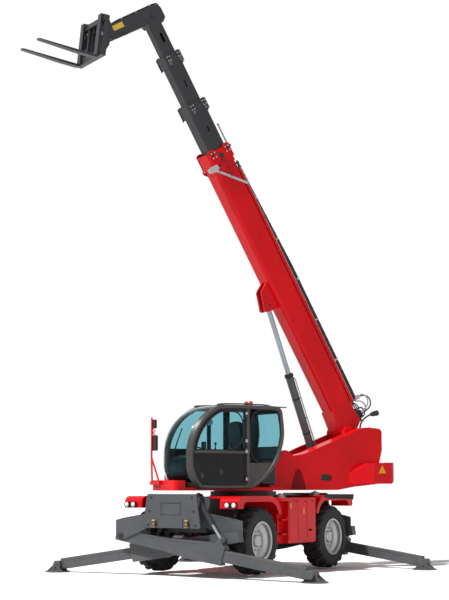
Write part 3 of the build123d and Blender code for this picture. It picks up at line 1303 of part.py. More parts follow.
def main():
    os.makedirs("parts", exist_ok=True)
    ground = Pos(SLEW_X, 0, 0)
    turret = turret_place()
    boom = boom_place()

    ends = end_frame()
    save("chassis_frame", ground * chassis_frame())
    save("end_frames", ground * Compound([ends, mirror_x(ends)]))
    save("side_boxes", ground * side_boxes())
    save("fenders", ground * fenders())
    save("end_plates", ground * end_plates())
    save("lights", ground * lights())
    save("slew_ring", ground * slew_ring())

    places = [ground * Pos(end * WHEELBASE / 2, 0, wheel_z()) for end in (1, -1)]
    save("axles", Compound([place * axle() for place in places]))
    for end, end_name, axle_at in ((1, "front", places[0]), (-1, "rear", places[1])):
        for side, side_name in ((1, "left"), (-1, "right")):
            name = end_name + "_" + side_name
            turn = Rot(0, 0, 0 if side > 0 else 180)
            place = axle_at * Pos(0, side * WHEEL_Y, 0) * turn
            save("tyre_" + name, place * tyre())
            save("rim_" + name, place * rim())
            save("knuckle_" + name, place * knuckle())

            x = STAB_X_OUT if side > 0 else STAB_X_IN
            frame = stab_frame(x, side)
            housing = frame * stabiliser_housing()
            beam = frame * stabiliser_beam() + pad_and_foot(side, x)
            p, q = leg_points(side)
            length = math.dist(p, q)
            barrel = along(p, q, x) * leg_barrel(length)
            rod = along(p, q, x) * leg_rod(length)
            group = (
                ("stabiliser_housing_", housing),
                ("stabiliser_beam_", beam),
                ("leg_barrel_", barrel),
                ("leg_rod_", rod),
            )
            for prefix, shape in group:
                if end < 0:
                    shape = mirror_x(shape)
                save(prefix + name, ground * shape)

    for name, make in TURRET_PIECES:
        save(name, turret * make())

    save("boom_base", boom * boom_base())
    save("boom_hoses", boom * boom_hoses())
    for index in range(3):
        save("boom_section_" + str(index + 2), boom * boom_section(index))

    p, q = lift_points()
    reach = math.dist(p, q)
    angle = math.degrees(math.atan2(q[1] - p[1], q[0] - p[0]))
    lift = turret * Pos(p[0], BOOM_Y, p[1]) * Rot(0, -angle, 0)
    barrel = cylinder_barrel(LIFT_BARREL_R, LIFT_ROD_R, LIFT_PIN_R, LIFT_BARREL_L, LIFT_BASE_W)
    save("lift_barrel", lift * barrel)
    save("lift_rod", lift * cylinder_rod(LIFT_ROD_R, LIFT_EYE_R, LIFT_ROD_START, reach, LIFT_EYE_W))

    a = math.radians(TILT_ARM_DEG)
    eye_s = NOSE_PIN_S + TILT_ARM * math.cos(a)
    eye_v = NOSE_PIN_V + TILT_ARM * math.sin(a)
    reach = math.dist((TILT_BASE_S, TILT_BASE_V), (eye_s, eye_v))
    angle = math.degrees(math.atan2(eye_v - TILT_BASE_V, eye_s - TILT_BASE_S))
    tilt = boom * Pos(TILT_BASE_S, 0, TILT_BASE_V) * Rot(0, -angle, 0)
    barrel = cylinder_barrel(TILT_BARREL_R, TILT_ROD_R, TILT_PIN_R, TILT_BARREL_L, 70)
    save("tilt_barrel", tilt * barrel)
    save("tilt_rod", tilt * cylinder_rod(TILT_ROD_R, TILT_EYE_R, TILT_ROD_START, reach, TILT_EYE_W))

    save("fork_carriage", carriage_place() * fork_carriage())
    save("forks", carriage_place() * forks())


main()
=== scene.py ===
"""Looks of a rotating telehandler: finishes, tread, bolts, trim, seat, lamps and a plain stage."""
import math

import bmesh
import bpy
from mathutils import Matrix, Vector


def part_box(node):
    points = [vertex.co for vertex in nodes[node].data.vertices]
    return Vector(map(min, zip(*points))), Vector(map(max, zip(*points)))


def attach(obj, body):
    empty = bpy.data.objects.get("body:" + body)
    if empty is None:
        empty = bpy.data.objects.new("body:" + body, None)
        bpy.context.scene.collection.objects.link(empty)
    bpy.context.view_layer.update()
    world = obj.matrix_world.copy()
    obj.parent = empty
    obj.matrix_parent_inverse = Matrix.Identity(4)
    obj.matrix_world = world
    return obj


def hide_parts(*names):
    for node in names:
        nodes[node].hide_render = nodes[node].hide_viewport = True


bl_info = {
    "name": "Rotating telehandler looks",
    "version": (1, 0, 0),
    "blender": (4, 5, 0),
    "location": "3D View > Sidebar > Handler",
    "description": "Finishes and fittings for the telehandler frame",
    "category": "Object",
}

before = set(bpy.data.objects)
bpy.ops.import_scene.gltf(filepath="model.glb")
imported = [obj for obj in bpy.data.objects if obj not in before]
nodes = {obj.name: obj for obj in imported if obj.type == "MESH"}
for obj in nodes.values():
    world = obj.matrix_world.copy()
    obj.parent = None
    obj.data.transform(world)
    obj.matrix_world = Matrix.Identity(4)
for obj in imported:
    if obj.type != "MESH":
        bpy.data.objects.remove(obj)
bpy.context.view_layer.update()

# Places of the moving parts, in metres, as the frame has them
CHASSIS = Matrix.Translation((-0.648, 0, 0))
TURRET = CHASSIS @ Matrix.Rotation(math.radians(-25), 4, "Z")
BOOM_RISE = math.radians(59)
BOOM = TURRET @ Matrix.Translation((-2.33, -0.05, 2.62)) @ Matrix.Rotation(-BOOM_RISE, 4, "Y")
CARRIAGE = BOOM @ Matrix.Translation((8.94, 0, -0.83)) @ Matrix.Rotation(math.radians(53), 4, "Y")
PLACES = {
    "chassis": CHASSIS,
    **dict.fromkeys(("turret", "door", "hood", "lift_barrel"), TURRET),
    **dict.fromkeys(("boom", "section_2", "section_3", "section_4"), BOOM),
    "carriage": CARRIAGE,
}
X, Y, Z = Vector((1, 0, 0)), Vector((0, 1, 0)), Vector((0, 0, 1))
CORNERS = ("front_left", "front_right", "rear_left", "rear_right")
# Keeps the names of these finishes apart from the frame's own materials
LABEL = "look "
TYRE_RADIUS = 0.59
# Ends of the lift cylinder in the turret's place; the upper one is 3.183 along the boom and 0.19 under it
LIFT_BASE = Vector((-1.83, -0.05, 1.75))
LIFT_PIN = Vector((-2.33 + 3.183 * math.cos(BOOM_RISE) + 0.19 * math.sin(BOOM_RISE), -0.05,
                   2.62 + 3.183 * math.sin(BOOM_RISE) - 0.19 * math.cos(BOOM_RISE)))
# Where each collar of the boom ends, its half width, its lower and upper edge and its bolts' size
COLLARS = {
    "boom": (6.0, 0.215, -0.071, 0.469, 1.0),
    "section_2": (7.0, 0.192, 0.0, 0.45, 0.8),
    "section_3": (8.02, 0.164, 0.03, 0.42, 0.8),
}


def colour_setting(name, description, default):
    return bpy.props.FloatVectorProperty(
        name=name, description=description, subtype="COLOR", size=3, default=default, min=0, max=1)


def length_setting(name, description, default, low, high):
    return bpy.props.FloatProperty(
        name=name, description=description, default=default, min=low, max=high, unit="LENGTH")


class HandlerColours(bpy.types.PropertyGroup):
    """Paint and finish colours of the machine"""
    body_red: colour_setting("Body red", "Boom, turret, boxes and fenders", (0.74, 0.004, 0.009))
    frame_grey: colour_setting("Frame grey", "Chassis ends, axles and stabilisers", (0.082, 0.086, 0.093))
    boom_grey: colour_setting("Boom grey", "Telescoping sections, carriage and forks", (0.032, 0.033, 0.037))
    cab_grey: colour_setting("Cab grey", "Cab frame and door", (0.058, 0.057, 0.054))
    rim_silver: colour_setting("Rim silver", "Wheel rims", (0.42, 0.425, 0.43))
    glass_tint: colour_setting("Glass tint", "Cab panes", (0.42, 0.67, 0.72))
    dust: colour_setting("Dust", "Dirt near the ground", (0.2, 0.17, 0.13))


class HandlerSizes(bpy.types.PropertyGroup):
    """Sizes of the fittings"""
    lug_height: length_setting("Lug height", "Height of the tread lugs", 0.042, 0.005, 0.06)
    lug_count: bpy.props.IntProperty(
        name="Lug count", description="Lugs on each half of a tread", default=17, min=8, max=30)
    bolt_radius: length_setting("Bolt radius", "Half width of a structural bolt's head", 0.017, 0.004, 0.05)
    edge_radius: length_setting("Edge radius", "Rounding seen on painted edges", 0.006, 0, 0.03)


# Node trees
def fill(tree, node, inputs):
    """Links a node's inputs to sockets and sets the others to values"""
    for key, value in inputs.items():
        if isinstance(value, bpy.types.NodeSocket):
            tree.links.new(value, node.inputs[key])
        else:
            node.inputs[key].default_value = value


def add(tree, kind, inputs=None, **settings):
    made = tree.nodes.new("ShaderNode" + kind)
    for key, value in settings.items():
        setattr(made, key, value)
    fill(tree, made, inputs or {})
    return made


def new_group(name, takes, gives):
    tree = bpy.data.node_groups.new(name, "ShaderNodeTree")
    for label, kind, value in takes:
        socket = tree.interface.new_socket(name=label, in_out="INPUT", socket_type=kind)
        socket.default_value = value
    for label, kind in gives:
        tree.interface.new_socket(name=label, in_out="OUTPUT", socket_type=kind)
    return tree, tree.nodes.new("NodeGroupInput"), tree.nodes.new("NodeGroupOutput")


def ranged(tree, value, low, high, to_low, to_high):
    node = add(tree, "MapRange", {0: value, 1: low, 2: high, 3: to_low, 4: to_high})
    return node.outputs[0]


def maths(tree, operation, a, b):
    return add(tree, "Math", {0: a, 1: b}, operation=operation).outputs[0]


def blended(tree, factor, a, b):
    return add(tree, "Mix", {0: factor, 6: a, 7: b}, data_type="RGBA").outputs[2]


def noise(tree, place, scale, detail):
    return add(tree, "TexNoise", {"Vector": place, "Scale": scale, "Detail": detail}).outputs["Fac"]


def own_place(tree):
    return add(tree, "TexCoord").outputs["Object"]


def seen_by_eye(tree):
    """1 for camera, clear and mirror rays that have met no matt surface, else 0"""
    path = add(tree, "LightPath").outputs
    seen = maths(tree, "MAXIMUM", path["Is Camera Ray"], path["Is Transmission Ray"])
    seen = maths(tree, "MAXIMUM", seen, path["Is Glossy Ray"])
    return maths(tree, "MULTIPLY", seen, maths(tree, "LESS_THAN", path["Diffuse Depth"], 0.5))


def weathering():
    """Colour drift, streaks and dirt that rises from the ground"""
    name = "Weathering"
    if name in bpy.data.node_groups:
        return bpy.data.node_groups[name]
    colour, value = "NodeSocketColor", "NodeSocketFloat"
    tree, takes, gives = new_group(
        name,
        (("Colour", colour, (0.5, 0.5, 0.5, 1)), ("Dirt", colour, (0.2, 0.17, 0.13, 1)),
         ("Dirt height", value, 1.0), ("Roughness", value, 0.4), ("Grain scale", value, 60.0)),
        (("Colour", colour), ("Roughness", value), ("Height", value)))
    place = own_place(tree)
    drift = noise(tree, place, 1.6, 3.0)
    level = ranged(tree, drift, 0.3, 0.7, 0.88, 1.08)
    toned = add(tree, "VectorMath", {0: takes.outputs["Colour"], "Scale": level}, operation="SCALE")
    height = add(tree, "SeparateXYZ", {0: place}).outputs[2]
    near = maths(tree, "DIVIDE", height, takes.outputs["Dirt height"])
    near = ranged(tree, near, 0.0, 1.0, 1.0, 0.0)
    spots = noise(tree, place, 7.0, 7.0)
    dirt = maths(tree, "MULTIPLY", near, ranged(tree, spots, 0.42, 0.72, 0.0, 0.28))
    long = add(tree, "Mapping", {0: place, "Scale": (13, 13, 0.7)}).outputs[0]
    streak = noise(tree, long, 1.0, 3.0)
    dirt = maths(tree, "MAXIMUM", dirt, ranged(tree, streak, 0.55, 0.8, 0.0, 0.05))
    grain = noise(tree, place, takes.outputs["Grain scale"], 4.0)
    colour_out = blended(tree, dirt, toned.outputs[0], takes.outputs["Dirt"])
    rough = maths(tree, "ADD", takes.outputs["Roughness"], maths(tree, "MULTIPLY", dirt, 0.5))
    rough = maths(tree, "ADD", rough, ranged(tree, grain, 0.3, 0.7, -0.04, 0.04))
    fill(tree, gives, {"Colour": colour_out, "Roughness": rough, "Height": maths(tree, "ADD", grain, dirt)})
    return tree


def soft_edges():
    """Rounded edge normals, and a mask of paint rubbed off along them"""
    name = "Soft edges"
    if name in bpy.data.node_groups:
        return bpy.data.node_groups[name]
    tree, takes, gives = new_group(
        name,
        (("Radius", "NodeSocketFloat", 0.006), ("Amount", "NodeSocketFloat", 0.5)),
        (("Wear", "NodeSocketFloat"), ("Normal", "NodeSocketVector")))
    bevel = add(tree, "Bevel", {"Radius": takes.outputs["Radius"]}, samples=4).outputs[0]
    flat = add(tree, "NewGeometry").outputs["Normal"]
    dot = add(tree, "VectorMath", {0: bevel, 1: flat}, operation="DOT_PRODUCT").outputs["Value"]
    edge = ranged(tree, dot, 0.97, 0.8, 0.0, 1.0)
    place = own_place(tree)
    chips = noise(tree, place, 22.0, 5.0)
    chips = ranged(tree, chips, 0.54, 0.62, 0.0, 1.0)
    wear = maths(tree, "MULTIPLY", maths(tree, "MULTIPLY", edge, chips), takes.outputs["Amount"])
    fill(tree, gives, {"Wear": wear, "Normal": bevel})
    return tree


def rgba(colour):
    return (*colour, 1.0)


def blank_finish(name):
    material = bpy.data.materials.new(LABEL + name)
    material.use_nodes = True
    return material, material.node_tree, material.node_tree.nodes["Principled BSDF"]


def painted(name, colour, roughness=0.38, coat=0.0, dirt_height=1.0, grain=60.0, bump=0.02, wear=0.4,
            under=(0.1, 0.1, 0.105), metallic=0.0, edges=True, specular=0.5):
    """A coat over metal or a moulded surface, weathered, with rubbed edges"""
    material, tree, shader = blank_finish(name)
    look = bpy.context.scene
    worn = add(tree, "Group", node_tree=weathering())
    fill(tree, worn, {"Colour": rgba(colour), "Dirt": rgba(look.handler_colours.dust),
                      "Dirt height": dirt_height, "Roughness": roughness, "Grain scale": grain})
    base = worn.outputs["Colour"]
    bumps = add(tree, "Bump", {"Height": worn.outputs["Height"], "Strength": bump, "Distance": 0.01})
    if edges:
        edge = add(tree, "Group", node_tree=soft_edges())
        fill(tree, edge, {"Radius": look.handler_sizes.edge_radius, "Amount": wear})
        base = blended(tree, edge.outputs["Wear"], base, rgba(under))
        fill(tree, bumps, {"Normal": edge.outputs["Normal"]})
    fill(tree, shader, {
        "Base Color": base, "Roughness": worn.outputs["Roughness"], "Normal": bumps.outputs[0],
        "Metallic": metallic, "Coat Weight": coat, "Coat Roughness": 0.08, "Specular IOR Level": specular})
    return material


def clear(name, colour, roughness=0.02, ior=1.45, transmission=1.0):
    """Glass or a clear moulding with a faint film on it"""
    material, tree, shader = blank_finish(name)
    worn = add(tree, "Group", node_tree=weathering())
    fill(tree, worn, {"Roughness": roughness, "Dirt height": 0.3, "Grain scale": 9.0})
    film = ranged(tree, worn.outputs["Roughness"], roughness, roughness + 0.25, roughness, roughness + 0.06)
    fill(tree, shader, {
        "Roughness": film, "Base Color": rgba(colour), "Transmission Weight": transmission, "IOR": ior})
    return material


def striped(name, pale, strong, pitch):
    """Slanted warning stripes on a weathered plate"""
    material, tree, shader = blank_finish(name)
    parts = add(tree, "SeparateXYZ", {0: own_place(tree)}).outputs
    slant = maths(tree, "DIVIDE", maths(tree, "ADD", parts[1], parts[2]), pitch)
    mask = maths(tree, "GREATER_THAN", maths(tree, "FRACT", slant, 0.0), 0.5)
    worn = add(tree, "Group", node_tree=weathering())
    fill(tree, worn, {"Roughness": 0.35, "Colour": blended(tree, mask, rgba(pale), rgba(strong))})
    fill(tree, shader, {"Base Color": worn.outputs["Colour"], "Roughness": worn.outputs["Roughness"]})
    return material


# Each finish: its maker, its colour or the name of the setting that holds it, and what else it takes
FINISHES = {
    "red paint": (painted, "body_red", dict(
        roughness=0.34, coat=0.04, under=(0.3, 0.02, 0.02), wear=0.3, specular=0.14)),
    # Painted shade: a dark red laid on the turret's arch panel where the arch's shade falls
    "painted shade red": (painted, (0.24, 0.004, 0.006), dict(
        roughness=0.5, dirt_height=0.8, specular=0.1, edges=False)),
    "grey paint": (painted, "frame_grey", dict(
        roughness=0.42, dirt_height=0.9, under=(0.28, 0.28, 0.29), specular=0.3)),
    "charcoal paint": (painted, "boom_grey", dict(
        roughness=0.4, dirt_height=0.5, under=(0.22, 0.22, 0.23), specular=0.25)),
    "cab paint": (painted, "cab_grey", dict(
        roughness=0.34, dirt_height=0.8, under=(0.18, 0.18, 0.18), wear=0.25, specular=0.3)),
    "rim paint": (painted, "rim_silver", dict(
        roughness=0.36, dirt_height=0.9, metallic=0.5, under=(0.2, 0.2, 0.2))),
    "zinc": (painted, (0.36, 0.36, 0.37), dict(
        roughness=0.42, dirt_height=0.6, metallic=0.6, bump=0.03, edges=False)),
    "chrome": (painted, (0.3, 0.35, 0.38), dict(
        roughness=0.3, dirt_height=0.3, metallic=0.55, bump=0.004, edges=False, specular=0.45)),
    "black oxide": (painted, (0.035, 0.035, 0.038), dict(
        roughness=0.45, dirt_height=0.6, metallic=0.4, bump=0.03, edges=False, specular=0.3)),
    "rubber": (painted, (0.016, 0.016, 0.017), dict(
        roughness=0.7, dirt_height=1.1, grain=140.0, bump=0.12, edges=False, specular=0.25)),
    "black moulding": (painted, (0.014, 0.014, 0.015), dict(
        roughness=0.46, dirt_height=0.6, grain=420.0, bump=0.1, edges=False, specular=0.25)),
    "dark gloss": (painted, (0.007, 0.007, 0.008), dict(
        roughness=0.1, dirt_height=0.4, bump=0.002, edges=False, specular=0.22)),
    "cast iron": (painted, (0.12, 0.12, 0.125), dict(
        roughness=0.62, dirt_height=0.6, grain=90.0, bump=0.2)),
    "yellow paint": (painted, (0.8, 0.5, 0.02), dict(
        roughness=0.4, coat=0.1, dirt_height=0.8, under=(0.2, 0.18, 0.12))),
    "white moulding": (painted, (0.78, 0.78, 0.76), dict(
        roughness=0.3, dirt_height=0.6, bump=0.01, edges=False)),
    "orange reflector": (painted, (0.95, 0.36, 0.008), dict(
        roughness=0.3, coat=0.1, dirt_height=0.5, grain=260.0, bump=0.12, edges=False, specular=0.2)),
    "seat vinyl": (painted, (0.022, 0.022, 0.024), dict(
        roughness=0.52, dirt_height=0.2, grain=300.0, bump=0.16, edges=False)),
    "mirror": (painted, (0.8, 0.82, 0.84), dict(
        roughness=0.06, dirt_height=0.4, metallic=1.0, bump=0.002, edges=False)),
    "pane": (clear, "glass_tint", dict(ior=1.14)),
    "beacon dome": (clear, (0.62, 0.03, 0.015), dict(roughness=0.16, transmission=0.3)),
    "striped plate": (striped, (0.8, 0.8, 0.78), dict(strong=(0.62, 0.01, 0.012), pitch=0.07)),
}


def finish(name):
    """The named finish of this machine, made when it is first asked for"""
    found = bpy.data.materials.get(LABEL + name)
    if found:
        return found
    maker, colour, settings = FINISHES[name]
    if isinstance(colour, str):
        colour = getattr(bpy.context.scene.handler_colours, colour)
    return maker(name, colour, **settings)


# Mesh making, in each body's own place: the makers add to one mesh, and piece turns it into an object
work = bmesh.new()


def block(low, high, bevel=0.0):
    """Box between two corners, whichever of them is the lower"""
    low, high = Vector(map(min, low, high)), Vector(map(max, low, high))
    size = Matrix.Diagonal((*(high - low), 1.0))
    made = bmesh.ops.create_cube(work, size=1.0, matrix=Matrix.Translation((low + high) / 2) @ size)
    if bevel:
        edges = dict.fromkeys(edge for vert in made["verts"] for edge in vert.link_edges)
        bmesh.ops.bevel(work, geom=list(edges), offset=bevel, segments=3, profile=0.5, affect="EDGES")


def turned(axis):
    return Z.rotation_difference(Vector(axis)).to_matrix().to_4x4()


def ring_points(x, y, radius, sides=20):
    return [(x + radius * math.cos(math.tau * i / sides), y + radius * math.sin(math.tau * i / sides))
            for i in range(sides)]


def skin(rings):
    """Faces between each ring of vertices and the next"""
    for a, b in zip(rings, rings[1:]):
        for i in range(len(a)):
            j = (i + 1) % len(a)
            work.faces.new((a[i], a[j], b[j], b[i]))


def lathe(at, axis, profile, sides=24, hollow=False):
    """Body of revolution: the profile's (radius, height) pairs run along the axis; a hollow one has a bore"""
    place = Matrix.Translation(at) @ turned(axis)
    rings = [[work.verts.new(place @ Vector((x, y, height))) for x, y in ring_points(0, 0, radius, sides)]
             for radius, height in profile]
    skin(rings + rings[:1] if hollow else rings)
    if not hollow:
        work.faces.new(list(reversed(rings[0])))
        work.faces.new(rings[-1])


def cap(at, axis, radius, height, top, rise, sides):
    """Disc that narrows from its height to a top"""
    lathe(at, axis, ((radius, 0), (radius, height), (top, rise)), sides)


def bolt(at, axis, radius):
    """Hex head on a washer"""
    lathe(at, axis, ((radius * 1.35, -0.004), (radius * 1.35, 0.003), (radius * 1.25, 0.004)), 20)
    head = ((radius, 0.0), (radius, radius * 0.62), (radius * 0.8, radius * 0.78))
    lathe(at, axis, head, 6)


def slab(outline, y0, y1):
    """An outline of (x, z) points pulled along y"""
    y0, y1 = sorted((y0, y1))
    near = [work.verts.new((x, y0, z)) for x, z in outline]
    far = [work.verts.new((x, y1, z)) for x, z in outline]
    work.faces.new(near)
    work.faces.new(list(reversed(far)))
    for i in range(len(outline)):
        j = (i + 1) % len(outline)
        work.faces.new((near[j], near[i], far[i], far[j]))


def shown(name, data):
    made = bpy.data.objects.new(name, data)
    bpy.context.scene.collection.objects.link(made)
    return made


def piece(name, body, look, place=None, bevel=0.0, smooth=35):
    """Turns the mesh in the making into a piece that rides on a body"""
    bmesh.ops.recalc_face_normals(work, faces=work.faces)
    bmesh.ops.transform(work, matrix=PLACES[body] if place is None else place, verts=work.verts)
    mesh = bpy.data.meshes.new(name)
    work.to_mesh(mesh)
    work.clear()
    for polygon in mesh.polygons:
        polygon.use_smooth = True
    mesh.set_sharp_from_angle(angle=math.radians(smooth))
    mesh.materials.append(finish(look))
    made = shown(name, mesh)
    if bevel:
        cut = made.modifiers.new("Edges", "BEVEL")
        cut.width = bevel
        cut.segments = 2
        cut.limit_method = "ANGLE"
    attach(made, body)
    return made


def tube(name, points, radius, body, look, closed=False):
    """Bent tube through points"""
    curve = bpy.data.curves.new(name, "CURVE")
    curve.dimensions = "3D"
    curve.bevel_depth = radius
    curve.bevel_resolution = 4
    curve.use_fill_caps = not closed
    spline = curve.splines.new("NURBS")
    spline.points.add(len(points) - 1)
    for point, at in zip(spline.points, points):
        point.co = (*(PLACES[body] @ Vector(at)), 1.0)
    spline.order_u = 3
    spline.use_cyclic_u = closed
    spline.use_endpoint_u = not closed
    spline.resolution_u = 6
    curve.materials.append(finish(look))
    made = shown(name, curve)
    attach(made, body)
    return made


def plate(name, loops, thick, body, look, place, bevel=0.002):
    """Flat plate in the place's x and y, its first loop the rim and the others holes"""
    curve = bpy.data.curves.new(name, "CURVE")
    curve.dimensions = "2D"
    curve.fill_mode = "BOTH"
    curve.extrude = thick / 2 - bevel
    curve.bevel_depth = bevel
    curve.offset = -bevel
    for loop in loops:
        spline = curve.splines.new("POLY")
        spline.points.add(len(loop) - 1)
        for point, (x, y) in zip(spline.points, loop):
            point.co = (x, y, 0, 1)
        spline.use_cyclic_u = True
    holder = bpy.data.objects.new(name, curve)
    mesh = bpy.data.meshes.new_from_object(holder)
    bpy.data.objects.remove(holder)
    bpy.data.curves.remove(curve)
    work.from_mesh(mesh)
    bpy.data.meshes.remove(mesh)
    bmesh.ops.remove_doubles(work, verts=work.verts, dist=0.00005)
    return piece(name, body, look, place)


def arc(start, via, end, steps=8):
    """Points on the circle through three points, the first left out"""
    (ax, ay), (bx, by), (cx, cy) = start, via, end
    d = 2 * (ax * (by - cy) + bx * (cy - ay) + cx * (ay - by))
    aa, bb, cc = ax * ax + ay * ay, bx * bx + by * by, cx * cx + cy * cy
    ux = (aa * (by - cy) + bb * (cy - ay) + cc * (ay - by)) / d
    uy = (aa * (cx - bx) + bb * (ax - cx) + cc * (bx - ax)) / d
    r = math.hypot(ax - ux, ay - uy)
    a0 = math.atan2(ay - uy, ax - ux)
    turn = (math.atan2(cy - uy, cx - ux) - a0) % math.tau
    middle = (math.atan2(by - uy, bx - ux) - a0) % math.tau
    if middle > turn:
        turn -= math.tau
    return [(ux + r * math.cos(a0 + turn * i / steps), uy + r * math.sin(a0 + turn * i / steps))
            for i in range(1, steps + 1)]


def cab_outline(inset):
    """Side outline of the cab in x and z, drawn in by an inset"""
    low, top = 1.52 + inset, 3.025 - inset
    front, rear = 1.885 - inset, -0.115 + inset
    points = [(0.62, low), (1.64, low)]
    points += arc((1.64, low), (front - 0.09, 1.69 + 0.7 * inset), (front, 1.98))
    points += [(front, 2.16)]
    points += arc((front, 2.16), (front - 0.195 + 0.2 * inset, 2.69 - 0.6 * inset), (1.23, top), 12)
    points += [(0.06, top)]
    points += arc((0.06, top), (rear + 0.06, top - 0.06), (rear + 0.03, top - 0.17), 5)
    points += arc((rear + 0.03, top - 0.17), (rear + 0.005, 2.65), (rear, 2.5), 4)
    points += arc((rear, 2.5), (0.11 + 0.7 * inset, 1.92 + 0.7 * inset), (0.62, low), 10)
    return points[:-1]


def clipped(points, axis, limit, above):
    """The part of an outline above or below a limit"""
    kept = []
    for i, b in enumerate(points):
        a = points[i - 1]
        inside_a = (a[axis] > limit) == above
        inside_b = (b[axis] > limit) == above
        if inside_a != inside_b:
            t = (limit - a[axis]) / (b[axis] - a[axis])
            kept.append(tuple(p + t * (q - p) for p, q in zip(a, b)))
        if inside_b:
            kept.append(b)
    return kept


# Stage: the camera's place, heading, rise and focal length are those of the photograph
EYE, EYE_YAW, EYE_PITCH, LENS_MM = Vector((22.12, 14.21, 1.607)), 3.7128, 0.1303, 84.44
FLOOR_HALF_WIDTH = 150


class HANDLER_OT_stage(bpy.types.Operator):
    """Camera at the photograph's place, a pale floor and soft light"""
    bl_idname = "handler.stage"
    bl_label = "Stage"

    def execute(self, context):
        scene = context.scene
        level = math.cos(EYE_PITCH)
        ahead = Vector((math.cos(EYE_YAW) * level, math.sin(EYE_YAW) * level, math.sin(EYE_PITCH)))
        lens = bpy.data.cameras.new("Eye level")
        lens.sensor_width = 36
        lens.lens = LENS_MM
        lens.clip_end = 400
        camera = shown("Eye level", lens)
        camera.location = EYE
        camera.rotation_euler = ahead.to_track_quat("-Z", "Y").to_euler()
        scene.camera = camera
        side = ahead.cross(Z).normalized()
        back = Vector((-ahead.x, -ahead.y, 0)).normalized()
        lamps = (
            ("Key", back * 0.75 - side * 0.95 + Z * 1.55, 3.7, 3),
            ("Fill", back * 1.0 + side * 0.9 + Z * 0.35, 0.28, 40),
            ("Rim", -back * 0.8 + side * 0.5 + Z * 1.3, 0.22, 30),
        )
        for name, toward, strength, spread in lamps:
            lamp = bpy.data.lights.new(name, "SUN")
            lamp.energy = strength
            lamp.angle = math.radians(spread)
            shown(name, lamp).rotation_euler = toward.to_track_quat("Z", "Y").to_euler()
        self.make_world(scene)
        self.make_floor()
        scene.view_settings.view_transform = "Standard"
        return {"FINISHED"}

    def make_world(self, scene):
        world = bpy.data.worlds.new("Studio")
        world.use_nodes = True
        tree = world.node_tree
        tree.nodes.clear()
        seen = seen_by_eye(tree)
        soft = add(tree, "Background", {0: (0.95, 0.97, 1.0, 1), 1: 0.13}).outputs[0]
        white = add(tree, "Background", {0: (1, 1, 1, 1), 1: 1.0}).outputs[0]
        both = add(tree, "MixShader", {0: seen, 1: soft, 2: white}).outputs[0]
        add(tree, "OutputWorld", {0: both})
        scene.world = world

    def make_floor(self):
        bm = bmesh.new()
        bmesh.ops.create_grid(bm, x_segments=8, y_segments=8, size=FLOOR_HALF_WIDTH)
        mesh = bpy.data.meshes.new("Floor")
        bm.to_mesh(mesh)
        bm.free()
        floor = shown("Floor", mesh)
        material, tree, shader = blank_finish("Studio floor")
        place = own_place(tree)
        tone = noise(tree, place, 0.6, 3.0)
        grey = ranged(tree, tone, 0.3, 0.7, 0.86, 0.9)
        seen = seen_by_eye(tree)
        grey = maths(tree, "ADD", grey, maths(tree, "MULTIPLY", seen, 0.35))
        fill(tree, shader, {"Base Color": grey, "Roughness": 0.9, "Specular IOR Level": 0.1})
        glow = add(tree, "Emission", {0: (1, 1, 1, 1), 1: maths(tree, "MULTIPLY", seen, 0.03)}).outputs[0]
        total = add(tree, "AddShader", {0: shader.outputs[0], 1: glow}).outputs[0]
        tree.links.new(total, tree.nodes["Material Output"].inputs[0])
        mesh.materials.append(material)


# Finishes of the frame's own parts
NODE_LOOKS = {
    "red paint": ("side_boxes", "fenders", "turret_frame", "counterweight", "engine_hood", "boom_base"),
    "grey paint": ("chassis_frame", "end_frames", "end_plates", "axles", "lift_barrel"),
    "charcoal paint": ("boom_section_2", "boom_section_3", "boom_section_4", "tilt_barrel",
                       "fork_carriage", "forks"),
    "cab paint": ("cab_frame",),
    "dark gloss": ("cab_door",),
    "cast iron": ("slew_ring", "engine"),
    "pane": ("cab_glass", "door_glass"),
    "black moulding": ("controls", "lights", "boom_hoses"),
    "chrome": ("lift_rod", "tilt_rod"),
    "beacon dome": ("beacon",),
}
CORNER_LOOKS = {
    "knuckle_": "grey paint",
    "rim_": "rim paint",
    "stabiliser_housing_": "grey paint",
    "stabiliser_beam_": "grey paint",
    "leg_barrel_": "charcoal paint",
    "leg_rod_": "chrome",
}


def dress(name, look):
    mesh = nodes[name].data
    mesh.materials.clear()
    mesh.materials.append(finish(look))


class HANDLER_OT_paint(bpy.types.Operator):
    """Finishes for the frame's own parts"""
    bl_idname = "handler.paint"
    bl_label = "Paint the frame"

    def execute(self, context):
        for look, names in NODE_LOOKS.items():
            for name in names:
                dress(name, look)
        for prefix, look in CORNER_LOOKS.items():
            for corner in CORNERS:
                dress(prefix + corner, look)
        dress("mirrors", "red paint")
        return {"FINISHED"}


# Tyres
CARCASS_SIDES = 72
# The tyre's wall from the rim's seat outward, as (radius, half width)
TYRE_SIDE = (
    (0.3205, 0.181), (0.344, 0.182), (0.352, 0.1835), (0.36, 0.181), (0.38, 0.186), (0.42, 0.194),
    (0.428, 0.197), (0.436, 0.195), (0.47, 0.198), (0.5, 0.196), (0.525, 0.186), (0.542, 0.165),
)


